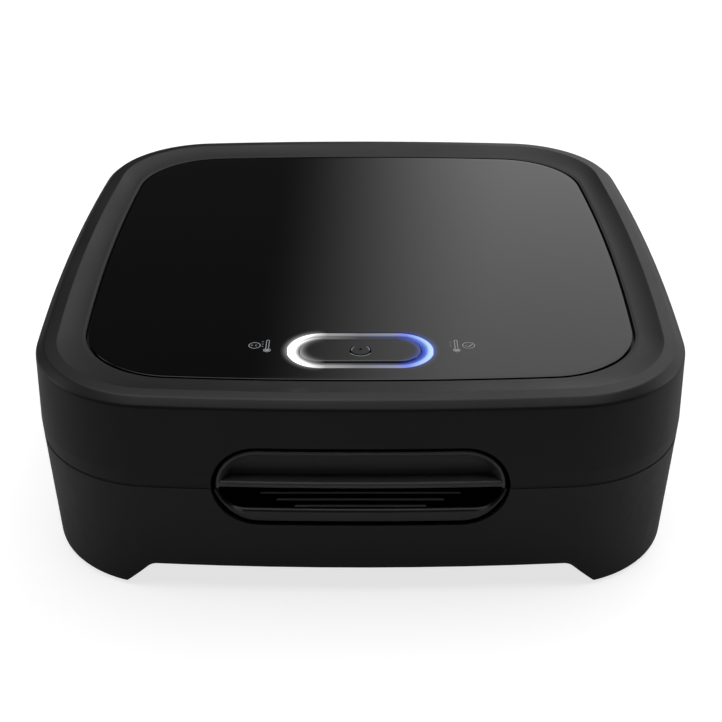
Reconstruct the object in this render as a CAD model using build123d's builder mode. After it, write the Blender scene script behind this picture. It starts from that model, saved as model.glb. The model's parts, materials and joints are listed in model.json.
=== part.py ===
from build123d import *
import math
import os

# A four-slice sandwich maker with a floating rear hinge, closed.
# Millimetres. +Z is up, the handle faces -Y, and z = 0 is what the feet stand on.
# The origin is under the middle of the whole object's box.

os.makedirs("parts", exist_ok=True)

# Casing

case_width = 296.0
case_depth = 302.0
case_corner = 58.5
side_bow = 7.3
wall = 2.5
panel_height = 96.9
lid_depth = 39.8
parting_gap = 0.3

# Base casing

foot_clearance = 1.2
base_draft_deg = 1.9
foot_edge_round = 2.0
arch_height = 14.7
foot_reach = 42.6
arch_round = 6.0
foot_toe = 14.0
foot_toe_round = 5.0
pad_diameter = 16.0
pad_seat_depth = 1.5
pad_inset = 35.0
pad_fit = 0.1
pad_chamfer = 0.4
cover_thickness = 1.8
ledge_width = 4.0
ledge_thickness = 2.5
vent_length = 22.0
vent_breadth = 3.0
vent_pitch_x = 40.0
vent_pitch_y = 9.0
vent_columns = 3
vent_rows = 9

# Lid casing

kink_rise = 7.6
rim_inset = 0.2
wall_top_drop = 0.5
wall_top_inset = 1.3
bevel_top_rise = 2.5
bevel_top_inset = 4.9
crest_rise = 2.9
crest_inset = 10.3
dish_mid_drop = 1.9

# Top panel

panel_side_margin = 22.1
panel_end_margin = 24.0
panel_corner = 43.1
panel_bow = 5.8
panel_thickness = 3.0
panel_gap = 0.6
gasket_thickness = 0.5
gasket_width = 7.0
gasket_inset = 1.5
deck_thickness = 2.0

# Cooking plates and their frames

plate_side_room = 25.0
plate_end_room = 33.0
plate_corner = 14.0
plate_offset_y = -2.0
plate_gap = 1.2
flange_thickness = 2.5
flange_width = 5.5
pocket_margin = 10.0
pocket_divider = 6.0
pocket_drop = 11.4
pocket_slope_run = 6.0
pocket_corner = 16.0
plate_floor = 2.6
ridge_width = 10.0
ridge_crest_width = 1.6
ridge_drop = 2.6
ridge_end_gap = 7.0
frame_seat = 2.0
frame_drop = 1.0
frame_thickness = 4.5
plate_fit = 0.5

# Heating

element_diameter = 6.5
element_gap = 0.05
element_side_room = 35.0
element_end_room = 43.0
element_bend = 18.0
element_tail_x = 22.0
element_tail_room = 10.0
terminal_radius = 1.2
terminal_length = 7.0
clamp_sheet = 1.1
clamp_breadth = 9.0
clamp_wing = 8.0
clamp_screw_reach = 4.8
shield_sheet = 0.7
shield_air = 0.6
shield_inset = 1.0
shield_notch_reach = 59.0
thermostat_radius = 8.5
thermostat_height = 7.0
thermostat_y = 30.0
can_round = 0.9
fuse_radius = 2.2
fuse_length = 16.0
fuse_chamfer = 0.5
fuse_x = -10.0
fuse_y = 58.0
lead_radius = 1.4
lead_bend = 8.0
lead_bend_share = 0.8

# Fasteners

screw_radius = 1.5
screw_fit = 0.06
screw_head_radius = 2.8
screw_head_height = 1.8
boss_radius = 4.5
side_boss_inset = 15.0
front_boss_inset = 16.5
side_boss_y = 70.0
front_boss_x = 85.0
rear_boss_x = 40.0
rear_boss_inset = 16.5
plate_boss_inset_x = 19.0
plate_boss_inset_y = 23.0
screw_bite = 9.0
plate_screw_bite = 6.0
small_screw_radius = 1.1
small_head_radius = 2.1
small_head_height = 1.2
small_screw_bite = 4.0
hole_spare = 1.0

# Handle pocket at the front

pocket_opening_width = 126.4
pocket_opening_radius = 20.0
pocket_opening_rise = 1.1
pocket_groove = 1.6
insert_set_back = 0.5
insert_flange = 4.0
insert_flange_thickness = 1.8
insert_fit = 0.3
recess_depth = 25.0
recess_wall = 1.7
recess_lip_drop = 10.5
recess_floor_drop = 13.0
recess_lip_thickness = 3.2
recess_mouth_width = 122.0
recess_corner = 12.3
recess_floor_step = 2.0
rib_width = 0.9
rib_height = 0.7
rib_pitch = 4.7
rib_front = 3.6
rib_shortest = 58.0
rib_count = 3
rib_step = 15.0
scoop_depth = 9.0
scoop_lip = 2.4
scoop_edge = 1.2
handle_floor = 2.0

# Rear hinge

hinge_station = 75.0
hinge_reach = 5.4
hinge_drop = 8.0
float_travel = 6.0
pin_radius = 2.5
pin_fit = 0.05
slot_fit = 0.08
ear_radius = 5.5
ear_thickness = 5.0
ear_root_gap = 0.5
lug_radius = 4.9
lug_width = 12.0
knuckle_gap = 0.4
pin_head_radius = 4.0
pin_head_length = 1.5
notch_clearance = 0.7
lug_root_drop = 20.7
lug_root_inset = 1.9
lug_face_inset = 0.7

# Power button and its light

button_length = 53.0
button_width = 19.5
button_inset = 50.0
button_proud = 0.1
button_cap = 1.8
button_skirt = 1.6
button_skirt_depth = 6.0
button_travel = 1.0
button_fit = 0.35
collar_wall = 2.1
collar_set_back = 0.6
light_ring_width = 2.9
light_ring_fit = 0.15
light_ring_height = 8.8
deck_fit = 0.5
panel_chamfer = 0.3
housing_room = 3.5
housing_wall = 1.4
housing_floor = 1.2
housing_air = 0.5
board_thickness = 1.2
led_height = 1.4
switch_size = 6.0
switch_height = 4.0
plunger_radius = 1.75
plunger_fit = 0.1
plunger_length = 2.4
plunger_rise = 1.2
stem_radius = 2.5
housing_ear_length = 16.0
housing_ear_thickness = 2.0
housing_boss_height = 4.0

# Cord inlet

gland_x = 84.0
gland_height = 28.7
gland_bore_radius = 4.2
gland_neck_radius = 6.2
gland_flange_radius = 9.0
gland_flange_thickness = 3.0
gland_nut_thickness = 4.0
gland_fit = 0.1
gland_seat = 0.6
gland_nut_seat = 4.5
gland_neck_length = 9.0

# Terminal blocks

block_width = 60.0
block_depth = 16.0
block_height = 11.0
block_inset = 20.0
lid_block_height = 8.0
block_pitch = 14.6
block_hole_radius = 1.7

# Places that follow from the sizes

split_height = panel_height - lid_depth
wall_top_height = panel_height - wall_top_drop
bevel_top_height = panel_height + bevel_top_rise
crest_height = panel_height + crest_rise
pocket_opening_middle = split_height + pocket_opening_rise
hinge_height = split_height - hinge_drop
lug_root_height = panel_height - lug_root_drop
half_width = case_width / 2
half_depth = case_depth / 2
panel_width = case_width - 2 * panel_side_margin
panel_depth = case_depth - 2 * panel_end_margin
plate_width = case_width - 2 * plate_side_room
plate_depth = case_depth - 2 * plate_end_room
pocket_width = (plate_width - pocket_divider) / 2 - pocket_margin
pocket_length = (plate_depth - pocket_divider) / 2 - pocket_margin
element_span_x = plate_width - 2 * element_side_room
element_span_y = plate_depth - 2 * element_end_room
element_tail_end = plate_depth / 2 - element_tail_room
button_y = button_inset - half_depth
block_y = half_depth - block_inset
half_plate_x = plate_width / 2
half_plate_y = plate_depth / 2
bow_radius = ((half_width - side_bow) ** 2 + side_bow**2) / (2 * side_bow)
bow_centre = half_depth - bow_radius
station_back = bow_centre + math.sqrt(bow_radius**2 - hinge_station**2)
gland_back = bow_centre + math.sqrt(bow_radius**2 - gland_x**2)
hinge_y = half_depth + hinge_reach
case_y = -(hinge_y + ear_radius - half_depth) / 2
base_rim = split_height - parting_gap / 2
lid_rim = split_height + parting_gap / 2
kink_height = split_height + kink_rise
draft_per_mm = math.tan(math.radians(base_draft_deg))
plate_face = split_height - plate_gap / 2
plate_back = plate_face - pocket_drop - plate_floor
flange_back = plate_face - flange_thickness
frame_face = split_height - frame_drop
frame_back = frame_face - frame_thickness
element_height = plate_back - element_gap - element_diameter / 2
clamp_back = element_height - element_diameter / 2 - element_gap - clamp_sheet
shield_floor = clamp_back - shield_air
shield_back = shield_floor - shield_sheet
cover_back = arch_height
cover_face = cover_back + cover_thickness
deck_top = panel_height - panel_thickness - gasket_thickness
deck_under = deck_top - deck_thickness
lid_frame_back = 2 * split_height - frame_back
handle_bottom = pocket_opening_middle - pocket_opening_radius
upper_shield_back = 2 * split_height - shield_back
housing_back = upper_shield_back + housing_air
board_back = housing_back + housing_floor
board_face = board_back + board_thickness
switch_top = board_face + switch_height
insert_width = pocket_opening_width + 2 * insert_flange
ear_middle = lug_width / 2 + knuckle_gap + ear_thickness / 2
ear_root_half = base_rim - hinge_height - ear_root_gap


body_width = plate_width - 2 * flange_width + 2 * plate_fit
body_depth = plate_depth - 2 * flange_width + 2 * plate_fit
body_corner = plate_corner - flange_width + plate_fit
handle_top = pocket_opening_middle + pocket_opening_radius
notch_radius = float_travel + ear_radius + notch_clearance
notch_half_width = ear_middle + ear_thickness / 2 + notch_clearance
ring_growth = button_fit + collar_wall + light_ring_fit + light_ring_width
housing_screw_x = button_length / 2 + ring_growth + housing_room + housing_wall + boss_radius + insert_fit
housing_screw_spots = [(-housing_screw_x, button_y), (housing_screw_x, button_y)]
housing_ear_x = housing_screw_x - housing_ear_length / 2 + boss_radius
plate_boss_x = half_plate_x - plate_boss_inset_x
plate_boss_y = half_plate_y - plate_boss_inset_y
plate_boss_spots = [
    (side_x * plate_boss_x, side_y * plate_boss_y + plate_offset_y)
    for side_x in (-1, 1)
    for side_y in (-1, 1)
]
clamp_spots = [
    ((-element_span_x / 2, plate_offset_y), (1, 0, 0)),
    ((element_span_x / 2, plate_offset_y), (1, 0, 0)),
    ((0, plate_offset_y - element_span_y / 2), (0, 1, 0)),
]
clamp_reach = element_diameter / 2 + clamp_screw_reach
clamp_screw_spots = [
    (spot[0] + end * across[0] * clamp_reach, spot[1] + end * across[1] * clamp_reach)
    for spot, across in clamp_spots
    for end in (-1, 1)
]
frame_boss_spots = [
    (side_boss_inset - half_width, -side_boss_y),
    (half_width - side_boss_inset, -side_boss_y),
    (side_boss_inset - half_width, side_boss_y),
    (half_width - side_boss_inset, side_boss_y),
    (-front_boss_x, front_boss_inset - half_depth),
    (front_boss_x, front_boss_inset - half_depth),
    (-rear_boss_x, half_depth - rear_boss_inset),
    (rear_boss_x, half_depth - rear_boss_inset),
]


def level(height):
    """A flat sketch plane at this height, centred on the casing."""
    return Plane((0, case_y, height))


def plate_level(height):
    """A flat sketch plane at this height, centred on the cooking plates."""
    return Plane((0, case_y + plate_offset_y, height))


def upright(depth):
    """A plane that faces the front at this depth: its x is X and its y is Z."""
    return Plane((0, case_y + depth, 0), x_dir=(1, 0, 0), z_dir=(0, -1, 0))


def sideways(x):
    """A plane that faces +X at this x: its x is Y from the casing's middle, its y is Z."""
    return Plane((x, case_y, 0), x_dir=(0, 1, 0), z_dir=(1, 0, 0))


def bowed_outline(width, depth, corner, bow, plane):
    """A rectangle with bowed sides and round corners, as a sketch on this plane."""
    half_x = width / 2
    half_y = depth / 2
    with BuildSketch(plane) as outline:
        with BuildLine():
            ThreePointArc((bow - half_x, bow - half_y), (0, -half_y), (half_x - bow, bow - half_y))
            ThreePointArc((half_x - bow, bow - half_y), (half_x, 0), (half_x - bow, half_y - bow))
            ThreePointArc((half_x - bow, half_y - bow), (0, half_y), (bow - half_x, half_y - bow))
            ThreePointArc((bow - half_x, half_y - bow), (-half_x, 0), (bow - half_x, bow - half_y))
        make_face()
        fillet(outline.vertices(), corner)
    return outline.sketch


def case_plan(inset, plane=Plane.XY):
    """The casing's plan, drawn in by inset."""
    width = case_width - 2 * inset
    depth = case_depth - 2 * inset
    return bowed_outline(width, depth, case_corner - inset, side_bow, plane)


def panel_plan(growth, plane=Plane.XY):
    """The top panel's plan, grown by growth."""
    width = panel_width + 2 * growth
    depth = panel_depth + 2 * growth
    return bowed_outline(width, depth, panel_corner + growth, panel_bow, plane)


def base_inset(height):
    """How far the base's wall stands in at this height."""
    return rim_inset + (base_rim - height) * draft_per_mm


def lid_inset(height):
    """How far the lid's wall stands in at this height, above its widest line."""
    return wall_top_inset * (height - kink_height) / (wall_top_height - kink_height)


def pocket_slot(growth):
    """Draw the handle pocket's outline in the current upright sketch, grown by growth."""
    with Locations((0, pocket_opening_middle)):
        SlotOverall(pocket_opening_width + 2 * growth, 2 * (pocket_opening_radius + growth))


def arch_outline(span):
    """The gap between two feet: its ends slope at 45 degrees, with a round at both ends of the slope."""
    rise = arch_height - foot_clearance
    toe = span / 2
    with BuildSketch() as arch:
        Polygon(
            (-toe - foot_toe, -arch_height),
            (toe + foot_toe, -arch_height),
            (toe + foot_toe, foot_clearance),
            (toe, foot_clearance),
            (toe - rise, arch_height),
            (rise - toe, arch_height),
            (-toe, foot_clearance),
            (-toe - foot_toe, foot_clearance),
            align=None,
        )
        fillet(vertices().group_by(Axis.Y)[-1], arch_round)
        fillet(vertices().filter_by(lambda v: math.isclose(abs(v.X), toe)), foot_toe_round)
    return arch.sketch


def button_slot(growth, mode=Mode.ADD):
    """Draw the power button's outline in the current level sketch, grown by growth."""
    with Locations((0, button_y)):
        SlotOverall(button_length + 2 * growth, button_width + 2 * growth, mode=mode)


def screw(spot, seat, tip, radius=screw_radius, head_radius=screw_head_radius, head_height=screw_head_height):
    """Add a pan-head screw at this place: its head touches the seat, its shank ends at the tip."""
    outward = 1 if seat > tip else -1
    with BuildSketch(Plane((spot[0], spot[1], seat), z_dir=(0, 0, outward))) as head:
        Circle(head_radius)
    extrude(head.sketch, amount=head_height)
    with BuildSketch(Plane((spot[0], spot[1], seat), z_dir=(0, 0, -outward))) as shank:
        Circle(radius)
    extrude(shank.sketch, amount=abs(seat - tip))


# Base casing: a tapered skirt whose four corners come down as feet

with BuildPart() as base_shell:
    skirt_levels = [foot_clearance, base_rim]
    loft([case_plan(base_inset(h), level(h)) for h in skirt_levels], ruled=True)
    fillet(edges().group_by(Axis.Z)[0], foot_edge_round)
    room_levels = [arch_height, base_rim + wall]
    loft(
        [case_plan(base_inset(h) + wall, level(h)) for h in room_levels],
        ruled=True,
        mode=Mode.SUBTRACT,
    )
    for ledge_top in (frame_back, cover_face + ledge_thickness):
        with BuildSketch(level(ledge_top - ledge_thickness)):
            add(case_plan(base_inset(ledge_top) + wall / 2))
            add(case_plan(base_inset(ledge_top) + wall + ledge_width), mode=Mode.SUBTRACT)
        extrude(amount=ledge_thickness)
    with BuildSketch(upright(-case_depth)):
        add(arch_outline(case_width - 2 * foot_reach))
    extrude(amount=-2 * case_depth, mode=Mode.SUBTRACT)
    with BuildSketch(sideways(-case_width)):
        add(arch_outline(case_depth - 2 * foot_reach))
    extrude(amount=2 * case_width, mode=Mode.SUBTRACT)
    with BuildSketch(level(0)):
        with GridLocations(case_width - 2 * pad_inset, case_depth - 2 * pad_inset, 2, 2):
            Circle(pad_diameter / 2 + pad_fit)
    extrude(amount=foot_clearance + pad_seat_depth, mode=Mode.SUBTRACT)
    with BuildSketch(upright(-case_depth)):
        pocket_slot(0)
    extrude(amount=-half_depth - wall - ledge_width - base_inset(0), mode=Mode.SUBTRACT)
    with BuildSketch(level(frame_back - ledge_thickness)):
        add(case_plan(base_inset(frame_back) + wall))
        with Locations((0, -half_depth)):
            Rectangle(insert_width, 4 * ledge_width, mode=Mode.INTERSECT)
    extrude(amount=ledge_thickness, mode=Mode.SUBTRACT)
    for side in (-1, 1):
        for cheek in (-1, 1):
            with BuildSketch(sideways(side * hinge_station + cheek * ear_middle)):
                with Locations((hinge_y, hinge_height + float_travel / 2)):
                    SlotCenterToCenter(float_travel, 2 * ear_radius, rotation=90)
                with Locations((station_back - wall, hinge_height)):
                    Rectangle(
                        hinge_y - station_back + wall,
                        2 * ear_root_half,
                        align=(Align.MIN, Align.CENTER),
                    )
                with Locations((hinge_y, hinge_height + float_travel / 2)):
                    SlotCenterToCenter(
                        float_travel,
                        2 * (pin_radius + slot_fit),
                        rotation=90,
                        mode=Mode.SUBTRACT,
                    )
            extrude(amount=ear_thickness / 2, both=True)
    with BuildSketch(upright(half_depth)):
        with Locations((gland_x, gland_height)):
            Circle(gland_neck_radius + gland_fit)
    extrude(amount=3 * wall, both=True, mode=Mode.SUBTRACT)
base_shell.part.label = "base_shell"
export_step(base_shell.part, "parts/base_shell.step")

# Bottom cover with its vents

with BuildPart() as bottom_cover:
    with BuildSketch(level(cover_back)):
        add(case_plan(base_inset(cover_back) + wall + insert_fit))
        with Locations(*frame_boss_spots):
            Circle(screw_radius + insert_fit, mode=Mode.SUBTRACT)
        with GridLocations(vent_pitch_x, vent_pitch_y, vent_columns, vent_rows):
            SlotOverall(vent_length, vent_breadth, mode=Mode.SUBTRACT)
    extrude(amount=cover_thickness)
bottom_cover.part.label = "bottom_cover"
export_step(bottom_cover.part, "parts/bottom_cover.step")

with BuildPart() as cover_screws:
    for spot in frame_boss_spots:
        place = (spot[0], spot[1] + case_y)
        screw(place, cover_back, cover_face + screw_bite)
cover_screws.part.label = "cover_screws"
export_step(cover_screws.part, "parts/cover_screws.step")

# Rubber feet, one in each corner

pad_spots = {
    "front_left": (-1, -1),
    "front_right": (1, -1),
    "rear_left": (-1, 1),
    "rear_right": (1, 1),
}
for corner_name, (side_x, side_y) in pad_spots.items():
    with BuildPart() as rubber_foot:
        pad_place = (side_x * (half_width - pad_inset), side_y * (half_depth - pad_inset))
        with BuildSketch(level(0)):
            with Locations(pad_place):
                Circle(pad_diameter / 2)
        extrude(amount=foot_clearance + pad_seat_depth)
        chamfer(edges().group_by(Axis.Z)[0], pad_chamfer)
    rubber_foot.part.label = f"rubber_foot_{corner_name}"
    export_step(rubber_foot.part, f"parts/rubber_foot_{corner_name}.step")

# Finger recess: the base's half of the handle pocket, open at the top

with BuildPart() as finger_recess:
    with BuildSketch(upright(-case_depth)):
        pocket_slot(-pocket_groove)
    extrude(amount=-half_depth - recess_depth)
    with BuildSketch(level(0)):
        add(case_plan(base_inset(base_rim) + insert_set_back))
        with Locations((0, -half_depth)):
            Rectangle(insert_width, 2 * recess_depth, mode=Mode.INTERSECT)
    extrude(amount=case_width, mode=Mode.INTERSECT)
    with BuildSketch(level(handle_bottom - insert_flange)):
        add(case_plan(base_inset(handle_bottom) + wall + insert_fit))
        add(
            case_plan(base_inset(handle_bottom) + wall + insert_fit + insert_flange_thickness),
            mode=Mode.SUBTRACT,
        )
        with Locations((0, -half_depth)):
            Rectangle(insert_width - 2 * insert_fit, 2 * recess_depth, mode=Mode.INTERSECT)
    extrude(amount=base_rim - handle_bottom + insert_flange)
    with BuildSketch(upright(-case_depth)):
        with Locations((0, base_rim - recess_lip_drop)):
            RectangleRounded(
                recess_mouth_width, recess_mouth_width, recess_corner, align=(Align.CENTER, Align.MIN)
            )
    extrude(amount=recess_wall - recess_depth - half_depth, mode=Mode.SUBTRACT)
    with BuildSketch(upright(recess_lip_thickness - half_depth)):
        with Locations((0, base_rim - recess_floor_drop)):
            recess_floor_width = recess_mouth_width - recess_floor_step
            RectangleRounded(
                recess_floor_width, recess_floor_width, recess_corner, align=(Align.CENTER, Align.MIN)
            )
    extrude(amount=recess_wall + recess_lip_thickness - recess_depth, mode=Mode.SUBTRACT)
    split(bisect_by=Plane.XY.offset(base_rim), keep=Keep.BOTTOM)
    for rib in range(rib_count):
        rib_y = recess_lip_thickness + rib_front + rib * rib_pitch - half_depth
        with BuildSketch(level(base_rim - recess_floor_drop)):
            with Locations((0, rib_y)):
                Rectangle(rib_shortest + rib * rib_step, rib_width)
        extrude(amount=rib_height)
finger_recess.part.label = "finger_recess"
export_step(finger_recess.part, "parts/finger_recess.step")

# Inner frames: the heat-proof rings that carry the cooking plates


def frame_ring():
    """Add the lower frame's ring: flat outside, with a rebate for the plate's flange."""
    with BuildSketch(level(frame_back)) as ring:
        add(case_plan(base_inset(frame_back) + wall + insert_fit))
        with Locations((0, -half_depth)):
            Rectangle(insert_width, 2 * (recess_depth + insert_fit), mode=Mode.SUBTRACT)
        with Locations((0, plate_offset_y)):
            RectangleRounded(body_width, body_depth, body_corner, mode=Mode.SUBTRACT)
    extrude(ring.sketch, amount=frame_thickness)
    with BuildSketch(plate_level(flange_back)) as rebate:
        RectangleRounded(plate_width + 2 * plate_fit, plate_depth + 2 * plate_fit, plate_corner + plate_fit)
    extrude(rebate.sketch, amount=frame_thickness, mode=Mode.SUBTRACT)


with BuildPart() as lower_frame:
    frame_ring()
    with BuildSketch(level(cover_face)):
        with Locations(*frame_boss_spots):
            Circle(boss_radius)
    extrude(amount=frame_back - cover_face)
    with BuildSketch(level(cover_face)):
        with Locations(*frame_boss_spots):
            Circle(screw_radius + screw_fit)
    extrude(amount=screw_bite + hole_spare, mode=Mode.SUBTRACT)
lower_frame.part.label = "lower_frame"
export_step(lower_frame.part, "parts/lower_frame.step")

with BuildPart() as ring_copy:
    frame_ring()

with BuildPart() as upper_frame:
    mirror(ring_copy.part, about=Plane.XY.offset(split_height))
    with BuildSketch(level(lid_frame_back)):
        with Locations(*frame_boss_spots):
            Circle(screw_radius + insert_fit)
    extrude(amount=-2 * frame_thickness, mode=Mode.SUBTRACT)
    with BuildSketch(level(lid_frame_back - frame_seat)):
        with Locations(*frame_boss_spots):
            Circle(screw_head_radius + insert_fit)
    extrude(amount=-frame_thickness, mode=Mode.SUBTRACT)
    for side in (-1, 1):
        with BuildSketch(sideways(side * hinge_station)):
            with Locations((hinge_y, hinge_height)):
                Circle(notch_radius)
        extrude(amount=notch_half_width, both=True, mode=Mode.SUBTRACT)
upper_frame.part.label = "upper_frame"
export_step(upper_frame.part, "parts/upper_frame.step")

# Cooking plates: four pockets, each parted by a ridge from corner to corner

with BuildPart() as lower_cooking_plate:
    with BuildSketch(plate_level(flange_back)):
        RectangleRounded(plate_width, plate_depth, plate_corner)
    extrude(amount=flange_thickness)
    with BuildSketch(plate_level(plate_back)):
        RectangleRounded(body_width - 2 * plate_fit, body_depth - 2 * plate_fit, body_corner - plate_fit)
    extrude(amount=flange_back - plate_back)
    for side_x in (-1, 1):
        for side_y in (-1, 1):
            pocket_x = side_x * (pocket_width + pocket_divider) / 2
            pocket_y = side_y * (pocket_length + pocket_divider) / 2 + plate_offset_y
            with BuildSketch(level(plate_face - pocket_drop)):
                with Locations((pocket_x, pocket_y)):
                    RectangleRounded(
                        pocket_width - 2 * pocket_slope_run,
                        pocket_length - 2 * pocket_slope_run,
                        pocket_corner - pocket_slope_run,
                    )
            with BuildSketch(level(plate_face)):
                with Locations((pocket_x, pocket_y)):
                    RectangleRounded(pocket_width, pocket_length, pocket_corner)
            loft(ruled=True, mode=Mode.SUBTRACT)
            ridge_run = Vector(side_x * pocket_width, side_y * pocket_length, 0).normalized()
            ridge_plane = Plane(
                (pocket_x, case_y + pocket_y, plate_face - pocket_drop),
                x_dir=Vector(0, 0, 1).cross(ridge_run),
                z_dir=ridge_run,
            )
            with BuildSketch(ridge_plane):
                with BuildLine():
                    Polyline(
                        (-ridge_width / 2, -plate_floor / 2),
                        (ridge_width / 2, -plate_floor / 2),
                        (ridge_width / 2, 0),
                        (ridge_crest_width / 2, pocket_drop - ridge_drop),
                        (-ridge_crest_width / 2, pocket_drop - ridge_drop),
                        (-ridge_width / 2, 0),
                        close=True,
                    )
                make_face()
            extrude(amount=math.hypot(pocket_width, pocket_length) / 2 - ridge_end_gap, both=True)
    with BuildSketch(level(plate_back)):
        with Locations(*plate_boss_spots):
            Circle(boss_radius)
    extrude(amount=shield_floor - plate_back)
    with BuildSketch(level(shield_floor)):
        with Locations(*plate_boss_spots):
            Circle(screw_radius + screw_fit)
    extrude(amount=plate_screw_bite + hole_spare, mode=Mode.SUBTRACT)
    with BuildSketch(level(plate_back)):
        with Locations(*clamp_screw_spots):
            Circle(small_screw_radius + screw_fit)
    extrude(amount=small_screw_bite + hole_spare, mode=Mode.SUBTRACT)
lower_cooking_plate.part.label = "lower_cooking_plate"
export_step(lower_cooking_plate.part, "parts/lower_cooking_plate.step")

# Heating elements: a bent sheathed tube under each plate, its tails at the rear

with BuildPart() as lower_heating_element:
    left = -element_span_x / 2
    front = -element_span_y / 2
    with BuildLine(plate_level(element_height)) as element_path:
        FilletPolyline(
            (-element_tail_x, element_tail_end),
            (-element_tail_x, -front),
            (left, -front),
            (left, front),
            (-left, front),
            (-left, -front),
            (element_tail_x, -front),
            (element_tail_x, element_tail_end),
            radius=element_bend,
        )
    with BuildSketch(Plane(element_path.line @ 0, z_dir=element_path.line % 0)):
        Circle(element_diameter / 2)
    sweep()
lower_heating_element.part.label = "lower_heating_element"
export_step(lower_heating_element.part, "parts/lower_heating_element.step")

with BuildPart() as lower_element_terminals:
    for side in (-1, 1):
        with BuildSketch(upright(element_tail_end + plate_offset_y)):
            with Locations((side * element_tail_x, element_height)):
                Circle(terminal_radius)
        extrude(amount=-terminal_length)
lower_element_terminals.part.label = "lower_element_terminals"
export_step(lower_element_terminals.part, "parts/lower_element_terminals.step")


def clamp_profile(plane):
    """A clamp strip's end view: it bridges the tube and lies on the plate at both sides."""
    hollow = element_diameter / 2 + element_gap
    depth = plate_back - clamp_back
    with BuildSketch(plane) as profile:
        with BuildLine():
            Polyline(
                (-hollow - clamp_wing, 0),
                (-hollow, 0),
                (-hollow, clamp_sheet - depth),
                (hollow, clamp_sheet - depth),
                (hollow, 0),
                (hollow + clamp_wing, 0),
                (hollow + clamp_wing, -clamp_sheet),
                (hollow + clamp_sheet, -clamp_sheet),
                (hollow + clamp_sheet, -depth),
                (-hollow - clamp_sheet, -depth),
                (-hollow - clamp_sheet, -clamp_sheet),
                (-hollow - clamp_wing, -clamp_sheet),
                close=True,
            )
        make_face()
    return profile.sketch


with BuildPart() as lower_element_clamps:
    for place, across in clamp_spots:
        clamp_plane = Plane(
            (place[0], case_y + place[1], plate_back),
            x_dir=across,
            z_dir=Vector(across).cross(Vector(0, 0, 1)),
        )
        extrude(clamp_profile(clamp_plane), amount=clamp_breadth / 2, both=True)
    with BuildSketch(level(plate_back)):
        with Locations(*clamp_screw_spots):
            Circle(small_screw_radius + screw_fit)
    extrude(amount=-2 * clamp_sheet, mode=Mode.SUBTRACT)
lower_element_clamps.part.label = "lower_element_clamps"
export_step(lower_element_clamps.part, "parts/lower_element_clamps.step")

with BuildPart() as lower_clamp_screws:
    for spot in clamp_screw_spots:
        place = (spot[0], spot[1] + case_y)
        seat = plate_back - clamp_sheet
        tip = plate_back + small_screw_bite
        screw(place, seat, tip, small_screw_radius, small_head_radius, small_head_height)
lower_clamp_screws.part.label = "lower_clamp_screws"
export_step(lower_clamp_screws.part, "parts/lower_clamp_screws.step")

# Heat shields: a sheet tray round each element, screwed to the plate's bosses

with BuildPart() as lower_heat_shield:
    tray_width = plate_width - 2 * shield_inset
    tray_depth = plate_depth - 2 * shield_inset
    with BuildSketch(plate_level(shield_back)):
        RectangleRounded(tray_width, tray_depth, plate_corner)
    extrude(amount=frame_back - shield_back)
    with BuildSketch(plate_level(shield_floor)):
        RectangleRounded(
            tray_width - 2 * shield_sheet, tray_depth - 2 * shield_sheet, plate_corner - shield_sheet
        )
    extrude(amount=frame_back - shield_floor, mode=Mode.SUBTRACT)
    with BuildSketch(level(shield_back)):
        with Locations(*plate_boss_spots):
            Circle(screw_radius + insert_fit)
    extrude(amount=shield_sheet, mode=Mode.SUBTRACT)
    with BuildSketch(upright(case_depth)):
        with Locations((0, element_height)):
            SlotOverall(2 * (element_tail_x + lead_bend), 4 * lead_radius)
    extrude(amount=half_depth + shield_notch_reach, mode=Mode.SUBTRACT)
lower_heat_shield.part.label = "lower_heat_shield"
export_step(lower_heat_shield.part, "parts/lower_heat_shield.step")

with BuildPart() as lower_plate_screws:
    for spot in plate_boss_spots:
        screw((spot[0], spot[1] + case_y), shield_back, shield_floor + plate_screw_bite)
lower_plate_screws.part.label = "lower_plate_screws"
export_step(lower_plate_screws.part, "parts/lower_plate_screws.step")

# The upper plate, element, clamps, shield and their screws are the lower ones turned over

mirrored_pieces = {
    "upper_cooking_plate": lower_cooking_plate,
    "upper_heating_element": lower_heating_element,
    "upper_element_terminals": lower_element_terminals,
    "upper_element_clamps": lower_element_clamps,
    "upper_clamp_screws": lower_clamp_screws,
    "upper_heat_shield": lower_heat_shield,
    "upper_plate_screws": lower_plate_screws,
}
for piece_name, lower_piece in mirrored_pieces.items():
    with BuildPart() as upper_piece:
        mirror(lower_piece.part, about=Plane.XY.offset(split_height))
    upper_piece.part.label = piece_name
    export_step(upper_piece.part, f"parts/{piece_name}.step")

# Thermostat and thermal fuse, both against the lower plate

with BuildPart() as thermostat:
    with BuildSketch(level(plate_back)):
        with Locations((0, thermostat_y)):
            Circle(thermostat_radius)
    extrude(amount=-thermostat_height)
    fillet(edges().group_by(Axis.Z)[0], can_round)
thermostat.part.label = "thermostat"
export_step(thermostat.part, "parts/thermostat.step")

with BuildPart() as thermal_fuse:
    with BuildSketch(upright(fuse_y)):
        with Locations((fuse_x, plate_back - element_gap - fuse_radius)):
            Circle(fuse_radius)
    extrude(amount=fuse_length / 2, both=True)
    chamfer(edges(), fuse_chamfer)
thermal_fuse.part.label = "thermal_fuse"
export_step(thermal_fuse.part, "parts/thermal_fuse.step")

# Terminal blocks, and the leads that join them to the elements

with BuildPart() as terminal_block:
    with BuildSketch(level(cover_face)):
        with Locations((0, block_y)):
            Rectangle(block_width, block_depth)
    extrude(amount=block_height)
    with BuildSketch(level(cover_face + block_height)):
        with Locations((0, block_y)):
            with GridLocations(block_pitch, 1, 4, 1):
                Circle(block_hole_radius)
    extrude(amount=-block_height / 2, mode=Mode.SUBTRACT)
terminal_block.part.label = "terminal_block"
export_step(terminal_block.part, "parts/terminal_block.step")

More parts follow.
